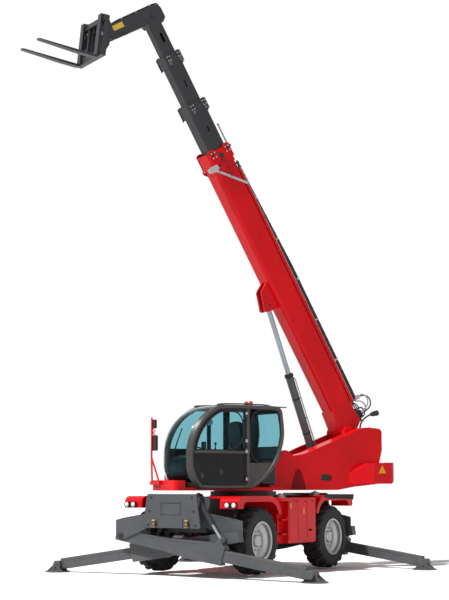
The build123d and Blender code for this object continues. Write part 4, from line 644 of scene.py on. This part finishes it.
def tyre_mesh(height, count):
    """Carcass with ribbed walls, and two rows of swept lugs"""
    crown = TYRE_RADIUS - height
    profile = list(TYRE_SIDE) + [(crown, 0.12), (crown + 0.003, 0.0)]
    profile += [(r, -w) for r, w in reversed(profile[:-1])]
    rings = [[work.verts.new((x, w, z)) for x, z in ring_points(0, 0, r, CARCASS_SIDES)] for r, w in profile]
    skin(rings + rings[:1])
    # Across a lug: place from the middle, sweep, lower and upper radius and half width
    stations = (
        (-0.012, 0.00, crown - 0.01, 0.588, 0.026), (0.05, 0.055, crown - 0.01, 0.589, 0.028),
        (0.115, 0.125, crown - 0.015, 0.587, 0.032), (0.16, 0.175, 0.53, 0.578, 0.035),
        (0.187, 0.2, 0.5, 0.556, 0.036), (0.1985, 0.212, 0.48, 0.505, 0.034),
    )
    for side in (-1, 1):
        for n in range(count):
            start = math.tau * (n + (0.5 if side > 0 else 0.0)) / count
            rows = []
            for y, sweep, low, high, half in stations:
                row = []
                for r, w in ((low, 1.18), (high, 1.0), (high, -1.0), (low, -1.18)):
                    angle = start + sweep + w * half / r
                    row.append(work.verts.new((r * math.cos(angle), side * y, r * math.sin(angle))))
                rows.append(row)
            skin(rows)
            work.faces.new(rows[0])
            work.faces.new(list(reversed(rows[-1])))


class HANDLER_OT_tyres(bpy.types.Operator):
    """Tyres with ribbed walls and swept lugs"""
    bl_idname = "handler.tyres"
    bl_label = "Tyres"

    def execute(self, context):
        sizes = context.scene.handler_sizes
        for corner in CORNERS:
            low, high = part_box("tyre_" + corner)
            centre = (low + high) / 2
            turn = 0 if corner.endswith("left") else math.pi
            tyre_mesh(sizes.lug_height, sizes.lug_count)
            place = Matrix.Translation(centre) @ Matrix.Rotation(turn, 4, "Z")
            made = piece("tread_" + corner, "wheel_" + corner, "rubber", place, smooth=28)
            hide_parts("tyre_" + corner)
        return {"FINISHED"}


# Seat
def pad(low, high, soft=0.35, crown=0.0, channels=(), depth=0.01):
    """Crowned closed cushion with sewn channels across it"""
    low, high = Vector(low), Vector(high)
    made = bmesh.ops.create_cube(work, size=2.0)
    edges = list({edge for vert in made["verts"] for edge in vert.link_edges})
    bmesh.ops.subdivide_edges(work, edges=edges, cuts=17, use_grid_fill=True)
    middle, half = (low + high) / 2, (high - low) / 2
    for vert in work.verts:
        x, y, z = vert.co
        ball = Vector((
            x * math.sqrt(max(0, 1 - y * y / 2 - z * z / 2 + y * y * z * z / 3)),
            y * math.sqrt(max(0, 1 - z * z / 2 - x * x / 2 + z * z * x * x / 3)),
            z * math.sqrt(max(0, 1 - x * x / 2 - y * y / 2 + x * x * y * y / 3))))
        near = Vector((x, y, z)).lerp(ball, soft)
        lift = crown * (1 - x * x) * (1 - y * y) * max(0.0, z)
        groove = sum(math.exp(-((x - at) / 0.05) ** 2) for at in channels) * depth * max(0.0, z)
        vert.co = middle + Vector((near.x * half.x, near.y * half.y, near.z * half.z + lift - groove))


class HANDLER_OT_seat(bpy.types.Operator):
    """Operator's seat: padded cushion, back and armrests on a sprung stand"""
    bl_idname = "handler.seat"
    bl_label = "Seat"

    def execute(self, context):
        pad((0.555, 0.5, 1.985), (1.065, 1.00, 2.105), crown=0.012, channels=(-0.35, 0.3))
        cushion = piece("seat_cushion", "turret", "seat vinyl", smooth=80)
        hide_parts("seat")
        lean = Matrix.Translation((0.58, 0.75, 2.1)) @ Matrix.Rotation(math.radians(-83), 4, "Y")
        pad((0.0, -0.22, -0.055), (0.655, 0.22, 0.055), crown=0.012, channels=(-0.5, 0.0, 0.5))
        back = piece("seat_back", "turret", "seat vinyl", TURRET @ lean, smooth=80)
        for name, y0, y1 in (("right", 0.44, 0.515), ("left", 0.985, 1.06)):
            pad((0.6, y0, 2.19), (0.96, y1, 2.24))
            rest = piece("armrest_" + name, "turret", "seat vinyl", smooth=80)
        block((0.64, 0.55, 1.88), (0.98, 0.95, 1.99), 0.015)
        for i in range(6):
            z, pleat = 1.6 + 0.047 * i, 0.008 * (i % 2)
            block((0.68 + pleat, 0.6 + pleat, z), (0.94 - pleat, 0.9 - pleat, z + 0.047), 0.01)
        for side in (-1, 1):
            y = 0.75 + side * 0.2725
            block((0.585, y - 0.03, 2.05), (0.635, y + 0.03, 2.2), 0.008)
            lathe((0.92, y, 2.235), Z, ((0.022, 0), (0.014, 0.02), (0.01, 0.05), (0.012, 0.09),
                                        (0.022, 0.105), (0.024, 0.12), (0.014, 0.135)), 16)
        stand = piece("seat_stand", "turret", "black moulding")
        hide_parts("seat")
        return {"FINISHED"}


# Cab
class HANDLER_OT_cab_trim(bpy.types.Operator):
    """Rounded cab hoops, door panel, seals, dashboard and small trim"""
    bl_idname = "handler.cab_trim"
    bl_label = "Cab trim"

    def execute(self, context):
        for name, y, radius in (("near", 1.182, 0.037), ("far", 0.33, 0.03)):
            hoop = [(x, y, z) for x, z in cab_outline(0.03)]
            tube("cab_hoop_" + name, hoop, radius, "turret", "cab paint", closed=True)
        block((0.64, 1.15, 1.56), (0.702, 1.214, 3.0), 0.022)
        piece("cab_post", "turret", "cab paint")
        door = clipped(cab_outline(0.118), 0, 0.762, True)
        lower = clipped(door, 1, 2.158, False)
        slab(lower, 1.1845, 1.19)
        piece("door_panel", "door", "dark gloss")
        block((0.716, 1.19, 2.155), (1.8, 1.206, 2.204), 0.006)
        piece("door_waist", "door", "cab paint")
        rim = [(x, 1.192, z) for x, z in lower]
        tube("door_seal_low", rim, 0.006, "door", "rubber", closed=True)
        upper = clipped(door, 1, 2.206, True)
        tube("door_seal_high", [(x, 1.192, z) for x, z in upper], 0.012, "door", "rubber", closed=True)
        quarter = clipped(clipped(cab_outline(0.062), 0, 0.638, False), 1, 1.992, True)
        tube("quarter_seal", [(x, 1.178, z) for x, z in quarter], 0.02, "turret", "rubber", closed=True)
        dash = [(1.52, 1.6), (1.74, 1.6), (1.86, 1.74), (1.9, 1.95), (1.86, 2.06), (1.7, 2.13), (1.6, 2.12),
                (1.54, 1.98)]
        slab(dash, 0.44, 1.06)
        piece("dashboard", "turret", "black moulding", bevel=0.02)
        block((1.5, 0.965, 2.14), (1.525, 1.105, 2.36), 0.01)
        block((1.5, 1.02, 1.98), (1.53, 1.05, 2.15), 0.006)
        block((-0.02, 0.42, 1.6), (0.3, 1.08, 2.08), 0.04)
        piece("cab_monitor", "turret", "black moulding")
        for x in (0.56, 0.72, 0.88):
            block((x, 0.78, 3.024), (x + 0.07, 0.98, 3.044), 0.008)
        block((0.02, 0.45, 3.022), (0.2, 1.05, 3.034), 0.005)
        piece("roof_vents", "turret", "black moulding")
        wall = clipped(cab_outline(0.075), 1, 2.25, False)
        slab(wall, 0.338, 0.35)
        block((0.53, 0.33, 2.24), (0.665, 0.362, 2.965), 0.008)
        for x in (0.9, 1.25):
            block((x, 0.349, 1.66), (x + 0.012, 0.353, 2.2))
        piece("cab_far_wall", "turret", "black moulding")
        lathe((1.665, 1.1895, 1.765), Y, ((0.066, 0), (0.066, 0.006), (0.058, 0.01), (0.052, 0.006),
                                          (0.02, 0.004), (0.016, 0.01)), 32)
        block((1.195, 1.189, 1.802), (1.3, 1.214, 1.836), 0.008)
        block((1.21, 1.189, 1.765), (1.285, 1.196, 1.873), 0.003)
        piece("door_latch", "door", "black oxide")
        for z in (1.675, 2.165, 2.355, 2.845):
            lathe((0.716, 1.208, z), Z, ((0.015, 0), (0.017, 0.004), (0.017, 0.052), (0.015, 0.056)), 16)
            block((0.69, 1.2, z + 0.006), (0.716, 1.221, z + 0.05), 0.003)
        piece("door_hinges", "turret", "zinc")
        lathe((1.42, 1.05, 2.705), Y, ((0.03, 0), (0.052, 0.012), (0.058, 0.034), (0.058, 0.05),
                                       (0.048, 0.052), (0.044, 0.044)), 28)
        block((1.405, 1.06, 2.745), (1.435, 1.085, 2.895), 0.006)
        block((1.405, 1.06, 2.865), (1.435, 1.165, 2.895), 0.006)
        piece("cab_inner_lamp", "turret", "zinc")
        block((0.292, 0.592, 3.0255), (0.388, 0.808, 3.05), 0.006)
        for side in (-1, 1):
            at = (0.34, 0.7 + side * 0.075, 3.048)
            profile = ((0.044, 0), (0.044, 0.01), (0.038, 0.014), (0.04, 0.02), (0.0415, 0.045),
                       (0.038, 0.066), (0.028, 0.08), (0.012, 0.086))
            lathe(at, Z, profile, 28)
        made = piece("beacon_domes", "turret", "beacon dome", smooth=50)
        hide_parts("beacon")
        wipe = [(1.878, 0.62, 2.02), (1.9, 0.66, 2.14), (1.885, 0.74, 2.34), (1.852, 0.8, 2.52)]
        tube("wiper_arm", wipe, 0.007, "turret", "black oxide")
        wipe = [(1.894, 0.68, 2.24), (1.876, 0.76, 2.42), (1.835, 0.83, 2.6)]
        tube("wiper_blade", wipe, 0.01, "turret", "rubber")
        for name, y in (("near", 1.15), ("far", 0.35)):
            rail = [(1.3, y, 3.022), (1.24, y, 3.045), (0.6, y, 3.052), (0.2, y, 3.046), (0.14, y, 3.022)]
            tube("roof_rail_" + name, rail, 0.011, "turret", "black oxide")
        return {"FINISHED"}


# Lamps, markers and mirrors
class HANDLER_OT_lamps(bpy.types.Operator):
    """Lamp glasses, side markers and the rear triangle"""
    bl_idname = "handler.lamps"
    bl_label = "Lamps and markers"

    def execute(self, context):
        for end in (-1, 1):
            for y in (-1.14, -1.0, 1.0, 1.14):
                at = (end * 2.135, y, 1.25)
                lathe(at, (end, 0, 0), ((0.046, 0), (0.046, 0.01), (0.04, 0.016), (0.024, 0.021),
                                        (0.004, 0.023)), 28)
        piece("lamp_glasses", "chassis", "white moulding", smooth=60)
        for side in (-1, 1):
            for x, z in ((0.32, 1.22), (-0.16, 1.12)):
                block((x - 0.022, side * 1.209, z - 0.045), (x + 0.022, side * 1.222, z + 0.045), 0.006)
        piece("side_markers", "chassis", "orange reflector")
        slab(((-2.8, 1.82), (-2.62, 1.82), (-2.71, 1.975)), 0.7995, 0.807)
        piece("rear_triangle", "turret", "orange reflector", bevel=0.003)
        return {"FINISHED"}


class HANDLER_OT_bolts(bpy.types.Operator):
    """Bolt heads on the boom's collars and the end plates"""
    bl_idname = "handler.bolts"
    bl_label = "Bolts"

    def execute(self, context):
        radius = context.scene.handler_sizes.bolt_radius
        for body, (end, half, low, top, size) in COLLARS.items():
            for side in (-1, 1):
                for s in (end + 0.02 * size, end + 0.11 * size):
                    for part in (0.1, 0.24, 0.76, 0.9):
                        at = (s, side * (half + 0.021), low + part * (top - low))
                        bolt(at, (0, side, 0), 0.75 * radius * size)
            piece("collar_bolts_" + body, body, "zinc")
        for end in (-1, 1):
            face = end * 2.375
            for side in (-1, 1):
                for y, z in ((0.43, 1.38), (0.5, 0.9), (0.47, 1.14)):
                    bolt((face, side * y, z), (end, 0, 0), radius)
        piece("plate_bolts", "chassis", "black oxide")
        return {"FINISHED"}


class HANDLER_OT_boom_fittings(bpy.types.Operator):
    """Hose carrier, clamps, side bars, upstands, the parts of its heads and those of its nose"""
    bl_idname = "handler.boom_fittings"
    bl_label = "Boom fittings"

    def execute(self, context):
        self.hose_carrier()
        for i in range(11):
            s = 0.62 + 0.45 * i
            block((s - 0.018, -0.07, 0.465), (s + 0.018, 0.07, 0.533), 0.006)
            for side in (-1, 1):
                block((s - 0.018, side * 0.088 - 0.022, 0.4635), (s + 0.018, side * 0.088 + 0.022, 0.47))
                bolt((s, side * 0.092, 0.47), Z, 0.009)
        piece("hose_clamps", "boom", "zinc")
        for side in (-1, 1):
            bar = ((5.787, -0.1), (5.853, -0.1), (5.303, 0.486), (5.237, 0.486))
            slab(bar, side * 0.2, side * 0.2165)
            if side > 0:
                slab(((5.765, -0.1), (5.775, -0.17), (5.8, -0.195), (5.86, -0.195), (5.885, -0.17),
                      (5.89, -0.1), (5.885, 0.0), (5.8, 0.03)), 0.195, 0.219)
                slab(((5.79, -0.067), (5.79, -0.185), (5.87, -0.185), (5.87, -0.067)), 0.12, 0.196)
                for x, z in ((5.81, -0.15), (5.85, -0.15), (5.83, -0.07)):
                    bolt((x, 0.2185, z), Y, 0.011)
        piece("boom_side_bars", "boom", "zinc", bevel=0.003)
        for side in (-1, 1):
            wall = ((0.44, 0.44), (5.62, 0.44), (5.62, 0.486), (4.6, 0.505), (1.2, 0.52), (0.44, 0.505))
            slab(wall, side * 0.1868, side * 0.1898)
        piece("boom_upstands", "boom", "red paint", bevel=0.001)
        # Painted highlight: the thin light grey zinc tubes on the upstands' top edges stand for the bright
        # line along that edge
        for side, name in ((1, "near"), (-1, "far")):
            run = [(0.45, side * 0.1883, 0.506), (1.2, side * 0.1883, 0.522), (4.6, side * 0.1883, 0.507),
                   (5.61, side * 0.1883, 0.488)]
            tube("upstand_trim_" + name, run, 0.0045, "boom", "zinc")
        self.collar_parts()
        slab(((8.965, -0.69), (9.065, -0.69), (9.065, -0.44), (8.965, -0.44)), 0.1082, 0.1105)
        piece("nose_plate", "section_4", "yellow paint", bevel=0.0006)
        for side in (-1, 1):
            face = side * 0.172
            for s, v in ((8.94, -0.83), (8.93, 0.25)):
                reach = face if v < 0 else side * 0.118
                cap((s, reach - side * 0.004, v), (0, side, 0), 0.045, 0.01, 0.036, 0.014, 28)
                bolt((s, reach + side * 0.01, v), (0, side, 0), 0.014)
        piece("nose_pin_caps", "section_4", "black oxide")
        top = 0.512
        for name, y in (("a", 0.03), ("b", -0.03)):
            run = [(8.868, y, 0.47), (8.868, y, top), (8.92, y, top + 0.004), (9.08, y, top),
                   (9.128, y, 0.47), (9.128, y, 0.2), (9.128, y, -0.3), (9.128, y, -0.55), (9.112, y, -0.6)]
            tube("nose_pipe_" + name, run, 0.012, "section_4", "black oxide")
        for z in (0.3, -0.05, -0.4):
            block((9.108, -0.055, z), (9.144, 0.055, z + 0.035), 0.004)
        piece("nose_pipe_clips", "section_4", "zinc")
        return {"FINISHED"}

    def hose_carrier(self):
        """Chain of links along the boom's top, with the pipes that loop out at its tail"""
        def fallen(level, s):
            """Level of the carrier's top, which falls from 3.4 on toward the collar"""
            return level - 0.042 * max(0.0, s - 3.4)

        base, pitch, count = 0.468, 0.092, 58
        for i in range(count):
            s = 0.43 + pitch * i
            out = 0.186 - 0.003 * (i % 2)
            inner = 0.078 + 0.003 * (i % 2)
            high = fallen(0.6, s)
            for y0, y1 in ((out - 0.012, out), (inner, inner + 0.012)):
                block((s - 0.006, y0, base), (s + pitch + 0.006, y1, high), 0.004)
            block((s + 0.03, 0.086, high - 0.014), (s + 0.062, out - 0.004, high - 0.004), 0.003)
            lathe((s + pitch / 2, out - 0.002, (base + high) / 2), Y,
                  ((0.03, 0), (0.03, 0.005), (0.022, 0.007)), 14)
        piece("hose_carrier", "boom", "black moulding")
        for i in range(4):
            y = 0.106 + 0.018 * i
            run = [(0.44, y, 0.54), (1.2, y, 0.535), (3.0, y, 0.54), (5.7, y, 0.515)]
            tube("carrier_pipe_" + str(i), run, 0.0085, "boom", "black oxide")
        for s in (0.46, 1.35, 2.25, 3.15, 4.05, 4.95, 5.62):
            high = fallen(0.606, s)
            block((s - 0.02, 0.072, 0.466), (s + 0.02, 0.188, high), 0.004)
            bolt((s, 0.188, high - 0.03), Y, 0.01)
        piece("carrier_brackets", "boom", "zinc")
        loops = (
            ("zinc", 0.013, [
                (0.47, 0.15, 0.55), (0.42, 0.15, 0.63), (0.47, 0.15, 0.76), (0.36, 0.144, 0.87),
                (0.21, 0.138, 0.85), (0.13, 0.13, 0.7), (0.17, 0.122, 0.48)]),
            ("black oxide", 0.014, [
                (0.5, 0.112, 0.55), (0.44, 0.112, 0.68), (0.38, 0.11, 0.88), (0.25, 0.104, 0.95),
                (0.12, 0.1, 0.9), (0.08, 0.096, 0.72), (0.13, 0.092, 0.48)]),
            ("zinc", 0.013, [
                (0.46, 0.08, 0.56), (0.37, 0.08, 0.62), (0.31, 0.07, 0.76), (0.16, 0.062, 0.82),
                (0.05, 0.056, 0.74), (0.09, 0.05, 0.48)]),
            ("black oxide", 0.015, [
                (0.22, 0.03, 0.48), (0.22, 0.03, 0.64), (0.16, 0.02, 0.75), (0.03, 0.0, 0.77),
                (-0.02, -0.01, 0.64), (0.04, -0.02, 0.47)]),
        )
        for i, (look, radius, run) in enumerate(loops):
            tube("tail_pipe_" + str(i), run, radius, "boom", look)
        block((0.0, -0.06, 0.44), (0.27, 0.17, 0.505), 0.008)
        block((0.05, 0.02, 0.5), (0.2, 0.16, 0.585), 0.012)
        for i in range(5):
            cap((0.055 + 0.035 * i, 0.122 - 0.034 * i, 0.498), Z, 0.021, 0.03, 0.017, 0.034, 6)
        for i in range(4):
            bolt((0.07 + 0.04 * (i % 2), 0.16, 0.525 + 0.035 * (i // 2)), Y, 0.011)
        piece("tail_manifold", "boom", "black moulding")
        lathe((0.455, 0.178, 0.64), Y, ((0.05, 0), (0.05, 0.006), (0.04, 0.01), (0.014, 0.012),
                                        (0.012, 0.018)), 28)
        block((0.435, 0.16, 0.56), (0.475, 0.178, 0.66), 0.004)
        piece("tail_pulley", "boom", "zinc")

    def collar_parts(self):
        """Round cap with its pipes, the guide rods and the wear blocks of the boom's heads"""
        for side in (-1, 1):
            lathe((6.0, side * 0.217, 0.2), (0, side, 0), ((0.052, 0), (0.052, 0.012), (0.04, 0.02),
                                                           (0.015, 0.024)), 26)
            for v in (0.02, 0.42):
                block((6.05, side * 0.217, v - 0.03), (6.12, side * 0.232, v + 0.03), 0.006)
        piece("collar_caps", "boom", "black moulding")
        for side, name in ((1, "near"), (-1, "far")):
            y = side * 0.224
            for k, (s, v) in enumerate(((5.72, -0.02), (5.55, 0.2))):
                run = [(5.975, y, 0.185), (5.9, y, 0.16), (5.82, y, v + 0.1), (s, y, v)]
                tube("collar_pipe_%s_%d" % (name, k), run, 0.006, "boom", "black oxide")
        rods = ((0.145, 0.484), (0.1, 0.508))
        for y, v in rods:
            cap((6.06, y, v), X, 0.013, 0.5, 0.01, 0.505, 18)
        piece("guide_rods", "boom", "chrome", smooth=50)
        block((6.07, 0.08, 0.46), (6.115, 0.175, 0.528), 0.005)
        for y, v in rods:
            cap((6.535, y, v), X, 0.017, 0.018, 0.013, 0.022, 6)
        piece("rod_brackets", "boom", "black oxide")
        for body in ("section_2", "section_3"):
            end, half, low, top, _ = COLLARS[body]
            for side in (-1, 1):
                out = side * (half + 0.016)
                for v in (low + 0.17 * (top - low), low + 0.83 * (top - low)):
                    block((end - 0.075, side * half, v - 0.034), (end - 0.01, out, v + 0.034), 0.005)
                    bolt((end - 0.042, out, v), (0, side, 0), 0.012)
            piece("wear_blocks_" + body, body, "cast iron")


class HANDLER_OT_carriage_fittings(bpy.types.Operator):
    """Webs and gussets with their holes, latches, pins and wires of the fork carriage"""
    bl_idname = "handler.carriage_fittings"
    bl_label = "Carriage fittings"

    def execute(self, context):
        # The plate's own x runs across the carriage and its y up it
        across = CARRIAGE @ Matrix(((0, 0, 1, 0.252), (1, 0, 0, 0), (0, 1, 0, 0), (0, 0, 0, 1)))
        for name, inner, outer in (("left", 0.205, 0.425), ("right", -0.205, -0.425)):
            y0, y1 = sorted((inner, outer))
            middle = (inner + outer) / 2
            web = [(y0, -0.02), (y1, -0.02), (y1, 0.1), (y0, 0.1)]
            gusset = [(inner, -0.435), (outer, -0.435), (outer, -0.3), (inner, -0.2)]
            for part, rim, high, radius in (("web_", web, 0.04, 0.042), ("gusset_", gusset, -0.355, 0.03)):
                loops = [rim, ring_points(middle, high, radius)]
                plate("carriage_" + part + name, loops, 0.014, "carriage", "charcoal paint", across)
        for y in (-0.35, 0.35):
            block((0.215, y - 0.035, 0.2155), (0.265, y + 0.035, 0.24), 0.006)
            cap((0.24, y, 0.238), Z, 0.016, 0.028, 0.01, 0.034, 18)
        for side in (-1, 1):
            for z in (0.16, -0.5):
                for y in (0.44, 0.2):
                    bolt((0.3, side * y, z), X, 0.013)
        piece("carriage_latches", "carriage", "black oxide")
        for side in (-1, 1):
            cap((0.167, side * 0.1525, -0.029), (0, side, 0), 0.03, 0.008, 0.022, 0.012, 22)
            bolt((0.167, side * 0.163, -0.029), (0, side, 0), 0.01)
        piece("carriage_pins", "carriage", "zinc")
        for side, name in ((1, "left"), (-1, "right")):
            run = [(0.2, side * 0.2, 0.2), (0.16, side * 0.21, 0.26), (0.19, side * 0.28, 0.29),
                   (0.235, side * 0.33, 0.275), (0.24, side * 0.35, 0.262)]
            tube("latch_wire_" + name, run, 0.005, "carriage", "zinc")
        return {"FINISHED"}


class HANDLER_OT_chassis_fittings(bpy.types.Operator):
    """Towing pins, deck caps, mats, hinge caps and latches of the side boxes"""
    bl_idname = "handler.chassis_fittings"
    bl_label = "Chassis fittings"

    def execute(self, context):
        for end in (-1, 1):
            for side in (-1, 1):
                x, y = end * 2.418, side * 0.345
                lathe((x, y, 0.862), Z, ((0.012, 0), (0.0155, 0.004), (0.0155, 0.112), (0.03, 0.114),
                                         (0.03, 0.128), (0.022, 0.134)), 18)
                for z in (0.872, 0.972):
                    block((x - 0.026, y - 0.03, z - 0.004), (x + 0.026, y + 0.03, z + 0.006), 0.004)
        piece("towing_pins", "chassis", "yellow paint")
        for side in (-1, 1):
            for x, z in ((0.17, 1.365), (-1.16, 1.4)):
                profile = ((0.11, 0), (0.11, 0.02), (0.085, 0.028), (0.085, 0.05), (0.06, 0.062),
                           (0.02, 0.066))
                lathe((x, side * 0.9, z), Z, profile, 28)
                y = side * 0.9
                block((x - 0.05, y - 0.008, z + 0.06), (x + 0.05, y + 0.008, z + 0.082), 0.005)
        piece("deck_caps", "chassis", "zinc")
        for side in (-1, 1):
            for x in (-0.56, -0.25, 0.08):
                block((x, side * 1.205, 1.285), (x + 0.06, side * 1.22, 1.305), 0.005)
        piece("box_latches", "chassis", "black moulding")
        self.deck_mats()
        self.stabiliser_parts()
        return {"FINISHED"}

    def deck_mats(self):
        """Ribbed mats over the rear fenders, their edge strips and the flaps behind the wheels"""
        for side in (-1, 1):
            block((-1.965, side * 0.62, 1.4), (-1.12, side * 1.213, 1.412), 0.004)
            inner, outer = sorted((side * 0.62, side * 1.213))
            for i in range(12):
                x = -1.965 + 0.04 + 0.066 * i
                block((x, inner + 0.02, 1.411), (x + 0.022, outer - 0.02, 1.419), 0.002)
            block((-2.145, side * 0.84, 1.3), (-2.101, side * 1.212, 1.395), 0.012)
        for side in (-1, 1):
            flap = ((-0.9, 1.372), (-1.12, 1.34), (-2.12, 1.318), (-2.15, 1.33), (-2.15, 1.418),
                    (-1.05, 1.418))
            slab(flap, side * 1.2125, side * 1.219)
        piece("deck_mats", "chassis", "rubber")

    def stabiliser_parts(self):
        """Bolted pin caps of the stabiliser hinges"""
        for end, end_name in ((1, "front"), (-1, "rear")):
            for side, side_name in ((1, "left"), (-1, "right")):
                out = end * side
                face, y, z = end * (2.245 if side > 0 else 2.085) + out * 0.1, -side * 1.12, 0.7
                cap((face, y, z), (out, 0, 0), 0.062, 0.008, 0.05, 0.014, 28)
                bolt((face + out * 0.012, y, z), (out, 0, 0), 0.018)
                for angle in (0.8, 2.9, 5.0):
                    at = (face + out * 0.006, y + 0.045 * math.cos(angle), z + 0.045 * math.sin(angle))
                    bolt(at, (out, 0, 0), 0.008)
                piece("hinge_cap_%s_%s" % (end_name, side_name), "chassis", "black oxide")


class HANDLER_OT_turret_fittings(bpy.types.Operator):
    """Recess drawn as a black slot of painted shade, arch cover, a dark red arch panel of painted shade, tail
    lamp and hood latches of the turret
    """
    bl_idname = "handler.turret_fittings"
    bl_label = "Turret fittings"

    def execute(self, context):
        # Black slot with four bars, laid flat on the turret side: its black is painted shade, standing for
        # the dark inside of a hole
        slot = [(-1.665, 1.69), (-1.645, 1.678), (-1.475, 1.678), (-1.455, 1.698), (-1.455, 1.782),
                (-1.475, 1.802), (-1.645, 1.802), (-1.665, 1.782)]
        slab(slot, 0.499, 0.5015)
        for i in range(4):
            block((-1.65, 0.5005, 1.695 + 0.027 * i), (-1.47, 0.5035, 1.707 + 0.027 * i), 0.001)
        piece("turret_recess_shade", "turret", "black moulding")
        arch = [(-0.928, 1.5005)] + arc((-0.928, 1.5005), (-0.79, 1.748), (-0.642, 1.5005), 12)
        slab(arch, 0.471, 0.4995)
        piece("arch_cover", "turret", "red paint")
        # Dark red arch panel: painted shade, a flat dark sheet laid where the shade of the arch falls
        arch = [(-1.105, 1.502)] + arc((-1.105, 1.502), (-1.035, 1.73), (-0.975, 1.88), 8)
        arch += arc((-0.975, 1.88), (-0.92, 1.895), (-0.865, 1.88), 5)
        arch += arc((-0.865, 1.88), (-0.805, 1.73), (-0.745, 1.502), 8)
        slab(arch, 0.4995, 0.5015)
        piece("arch_shade_panel", "turret", "painted shade red")
        self.tail_lamp()
        self.hood_parts()
        return {"FINISHED"}

    def tail_lamp(self):
        """Work lamp on a bent arm at the turret's tail"""
        arm = [(-2.56, 0.3, 2.69), (-2.57, 0.3, 2.8), (-2.66, 0.3, 2.9), (-2.78, 0.3, 2.97),
               (-2.84, 0.3, 2.99)]
        tube("tail_lamp_arm", arm, 0.017, "turret", "black oxide")
        at, axis = Vector((-2.82, 0.3, 2.985)), Vector((-1.0, 0.0, 0.22)).normalized()
        shell = ((0.018, 0), (0.032, 0.012), (0.046, 0.06), (0.055, 0.15), (0.055, 0.185), (0.05, 0.19))
        lathe(at, axis, shell, 28)
        block((-2.6, 0.27, 2.66), (-2.52, 0.33, 2.712), 0.006)
        piece("tail_lamp", "turret", "black moulding")
        cap(at + axis * 0.189, axis, 0.046, 0.004, 0.03, 0.01, 28)
        piece("tail_lamp_glass", "turret", "white moulding")

    def hood_parts(self):
        """Latches of the engine hood"""
        for x in (-1.3, 0.6):
            block((x - 0.05, -1.166, 1.585), (x + 0.05, -1.1505, 1.625), 0.006)
        piece("hood_latches", "hood", "black oxide")


class HANDLER_OT_cylinder_fittings(bpy.types.Operator):
    """Gland, bands, pipes and base caps of the lift cylinder"""
    bl_idname = "handler.cylinder_fittings"
    bl_label = "Cylinder fittings"

    def execute(self, context):
        ahead = (LIFT_PIN - LIFT_BASE).normalized()
        side = Vector((-ahead.z, 0, ahead.x))
        gland = ((0.052, 0.002), (0.08, 0), (0.088, 0.006), (0.088, 0.06), (0.082, 0.072), (0.06, 0.074),
                 (0.052, 0.076))
        lathe(LIFT_BASE + ahead * 2.06, ahead, gland, 40, hollow=True)
        band = ((0.0765, 0), (0.08, 0), (0.082, 0.002), (0.082, 0.026), (0.08, 0.028), (0.0765, 0.028))
        for reach in (0.16, 0.9, 1.6):
            lathe(LIFT_BASE + ahead * reach, ahead, band, 40, hollow=True)
        piece("lift_gland", "lift_barrel", "black moulding")
        for name, y, out, end in (("a", 0.045, 0.092, 2.02), ("b", 0.02, 0.112, 1.2)):
            bends = ((0.22, 0.068), (0.22, out), (0.3, out), (end - 0.1, out), (end, out), (end, 0.068))
            run = [LIFT_BASE + ahead * reach + side * off + Vector((0, y, 0)) for reach, off in bends]
            tube("lift_pipe_" + name, run, 0.011, "lift_barrel", "zinc")
        for side in (-1, 1):
            cap(LIFT_BASE + side * 0.056 * Y, (0, side, 0), 0.044, 0.006, 0.036, 0.01, 26)
        piece("lift_base_cap", "lift_barrel", "black oxide")
        return {"FINISHED"}


class HANDLER_OT_mirror_heads(bpy.types.Operator):
    """Mirror housings, their glasses and a striped marker plate"""
    bl_idname = "handler.mirror_heads"
    bl_label = "Mirrors"

    def execute(self, context):
        heads = ((0.306, 0.464, 2.206, 2.484), (0.306, 0.424, 2.606, 2.764))
        for y0, y1, z0, z1 in heads:
            block((2.118, y0, z0), (2.166, y1, z1), 0.018)
        piece("mirror_housings", "turret", "black moulding")
        for y0, y1, z0, z1 in heads:
            block((2.114, y0 + 0.014, z0 + 0.014), (2.12, y1 - 0.014, z1 - 0.014), 0.003)
        piece("mirror_glasses", "turret", "mirror")
        block((2.15, 0.312, 2.486), (2.157, 0.42, 2.604), 0.002)
        piece("marker_plate", "turret", "striped plate")
        return {"FINISHED"}


class HANDLER_PT_panel(bpy.types.Panel):
    """Lists the machine's pieces"""
    bl_idname = "HANDLER_PT_panel"
    bl_label = "Handler"
    bl_space_type = "VIEW_3D"
    bl_region_type = "UI"
    bl_category = "Handler"

    def draw(self, context):
        for step in STEPS:
            self.layout.operator(step.bl_idname)
        for group in (context.scene.handler_colours, context.scene.handler_sizes):
            for key in group.__annotations__:
                self.layout.prop(group, key)


STEPS = (HANDLER_OT_stage, HANDLER_OT_paint, HANDLER_OT_tyres, HANDLER_OT_seat, HANDLER_OT_cab_trim,
         HANDLER_OT_lamps, HANDLER_OT_bolts, HANDLER_OT_boom_fittings, HANDLER_OT_carriage_fittings,
         HANDLER_OT_chassis_fittings, HANDLER_OT_turret_fittings, HANDLER_OT_cylinder_fittings,
         HANDLER_OT_mirror_heads)
CLASSES = (HandlerColours, HandlerSizes, *STEPS, HANDLER_PT_panel)


def register():
    for cls in CLASSES:
        bpy.utils.register_class(cls)
    bpy.types.Scene.handler_colours = bpy.props.PointerProperty(type=HandlerColours)
    bpy.types.Scene.handler_sizes = bpy.props.PointerProperty(type=HandlerSizes)


def unregister():
    del bpy.types.Scene.handler_sizes
    del bpy.types.Scene.handler_colours
    for cls in reversed(CLASSES):
        bpy.utils.unregister_class(cls)


def main():
    register()
    for step in STEPS:
        group, name = step.bl_idname.split(".")
        getattr(getattr(bpy.ops, group), name)()


if __name__ == "__main__":
    main()
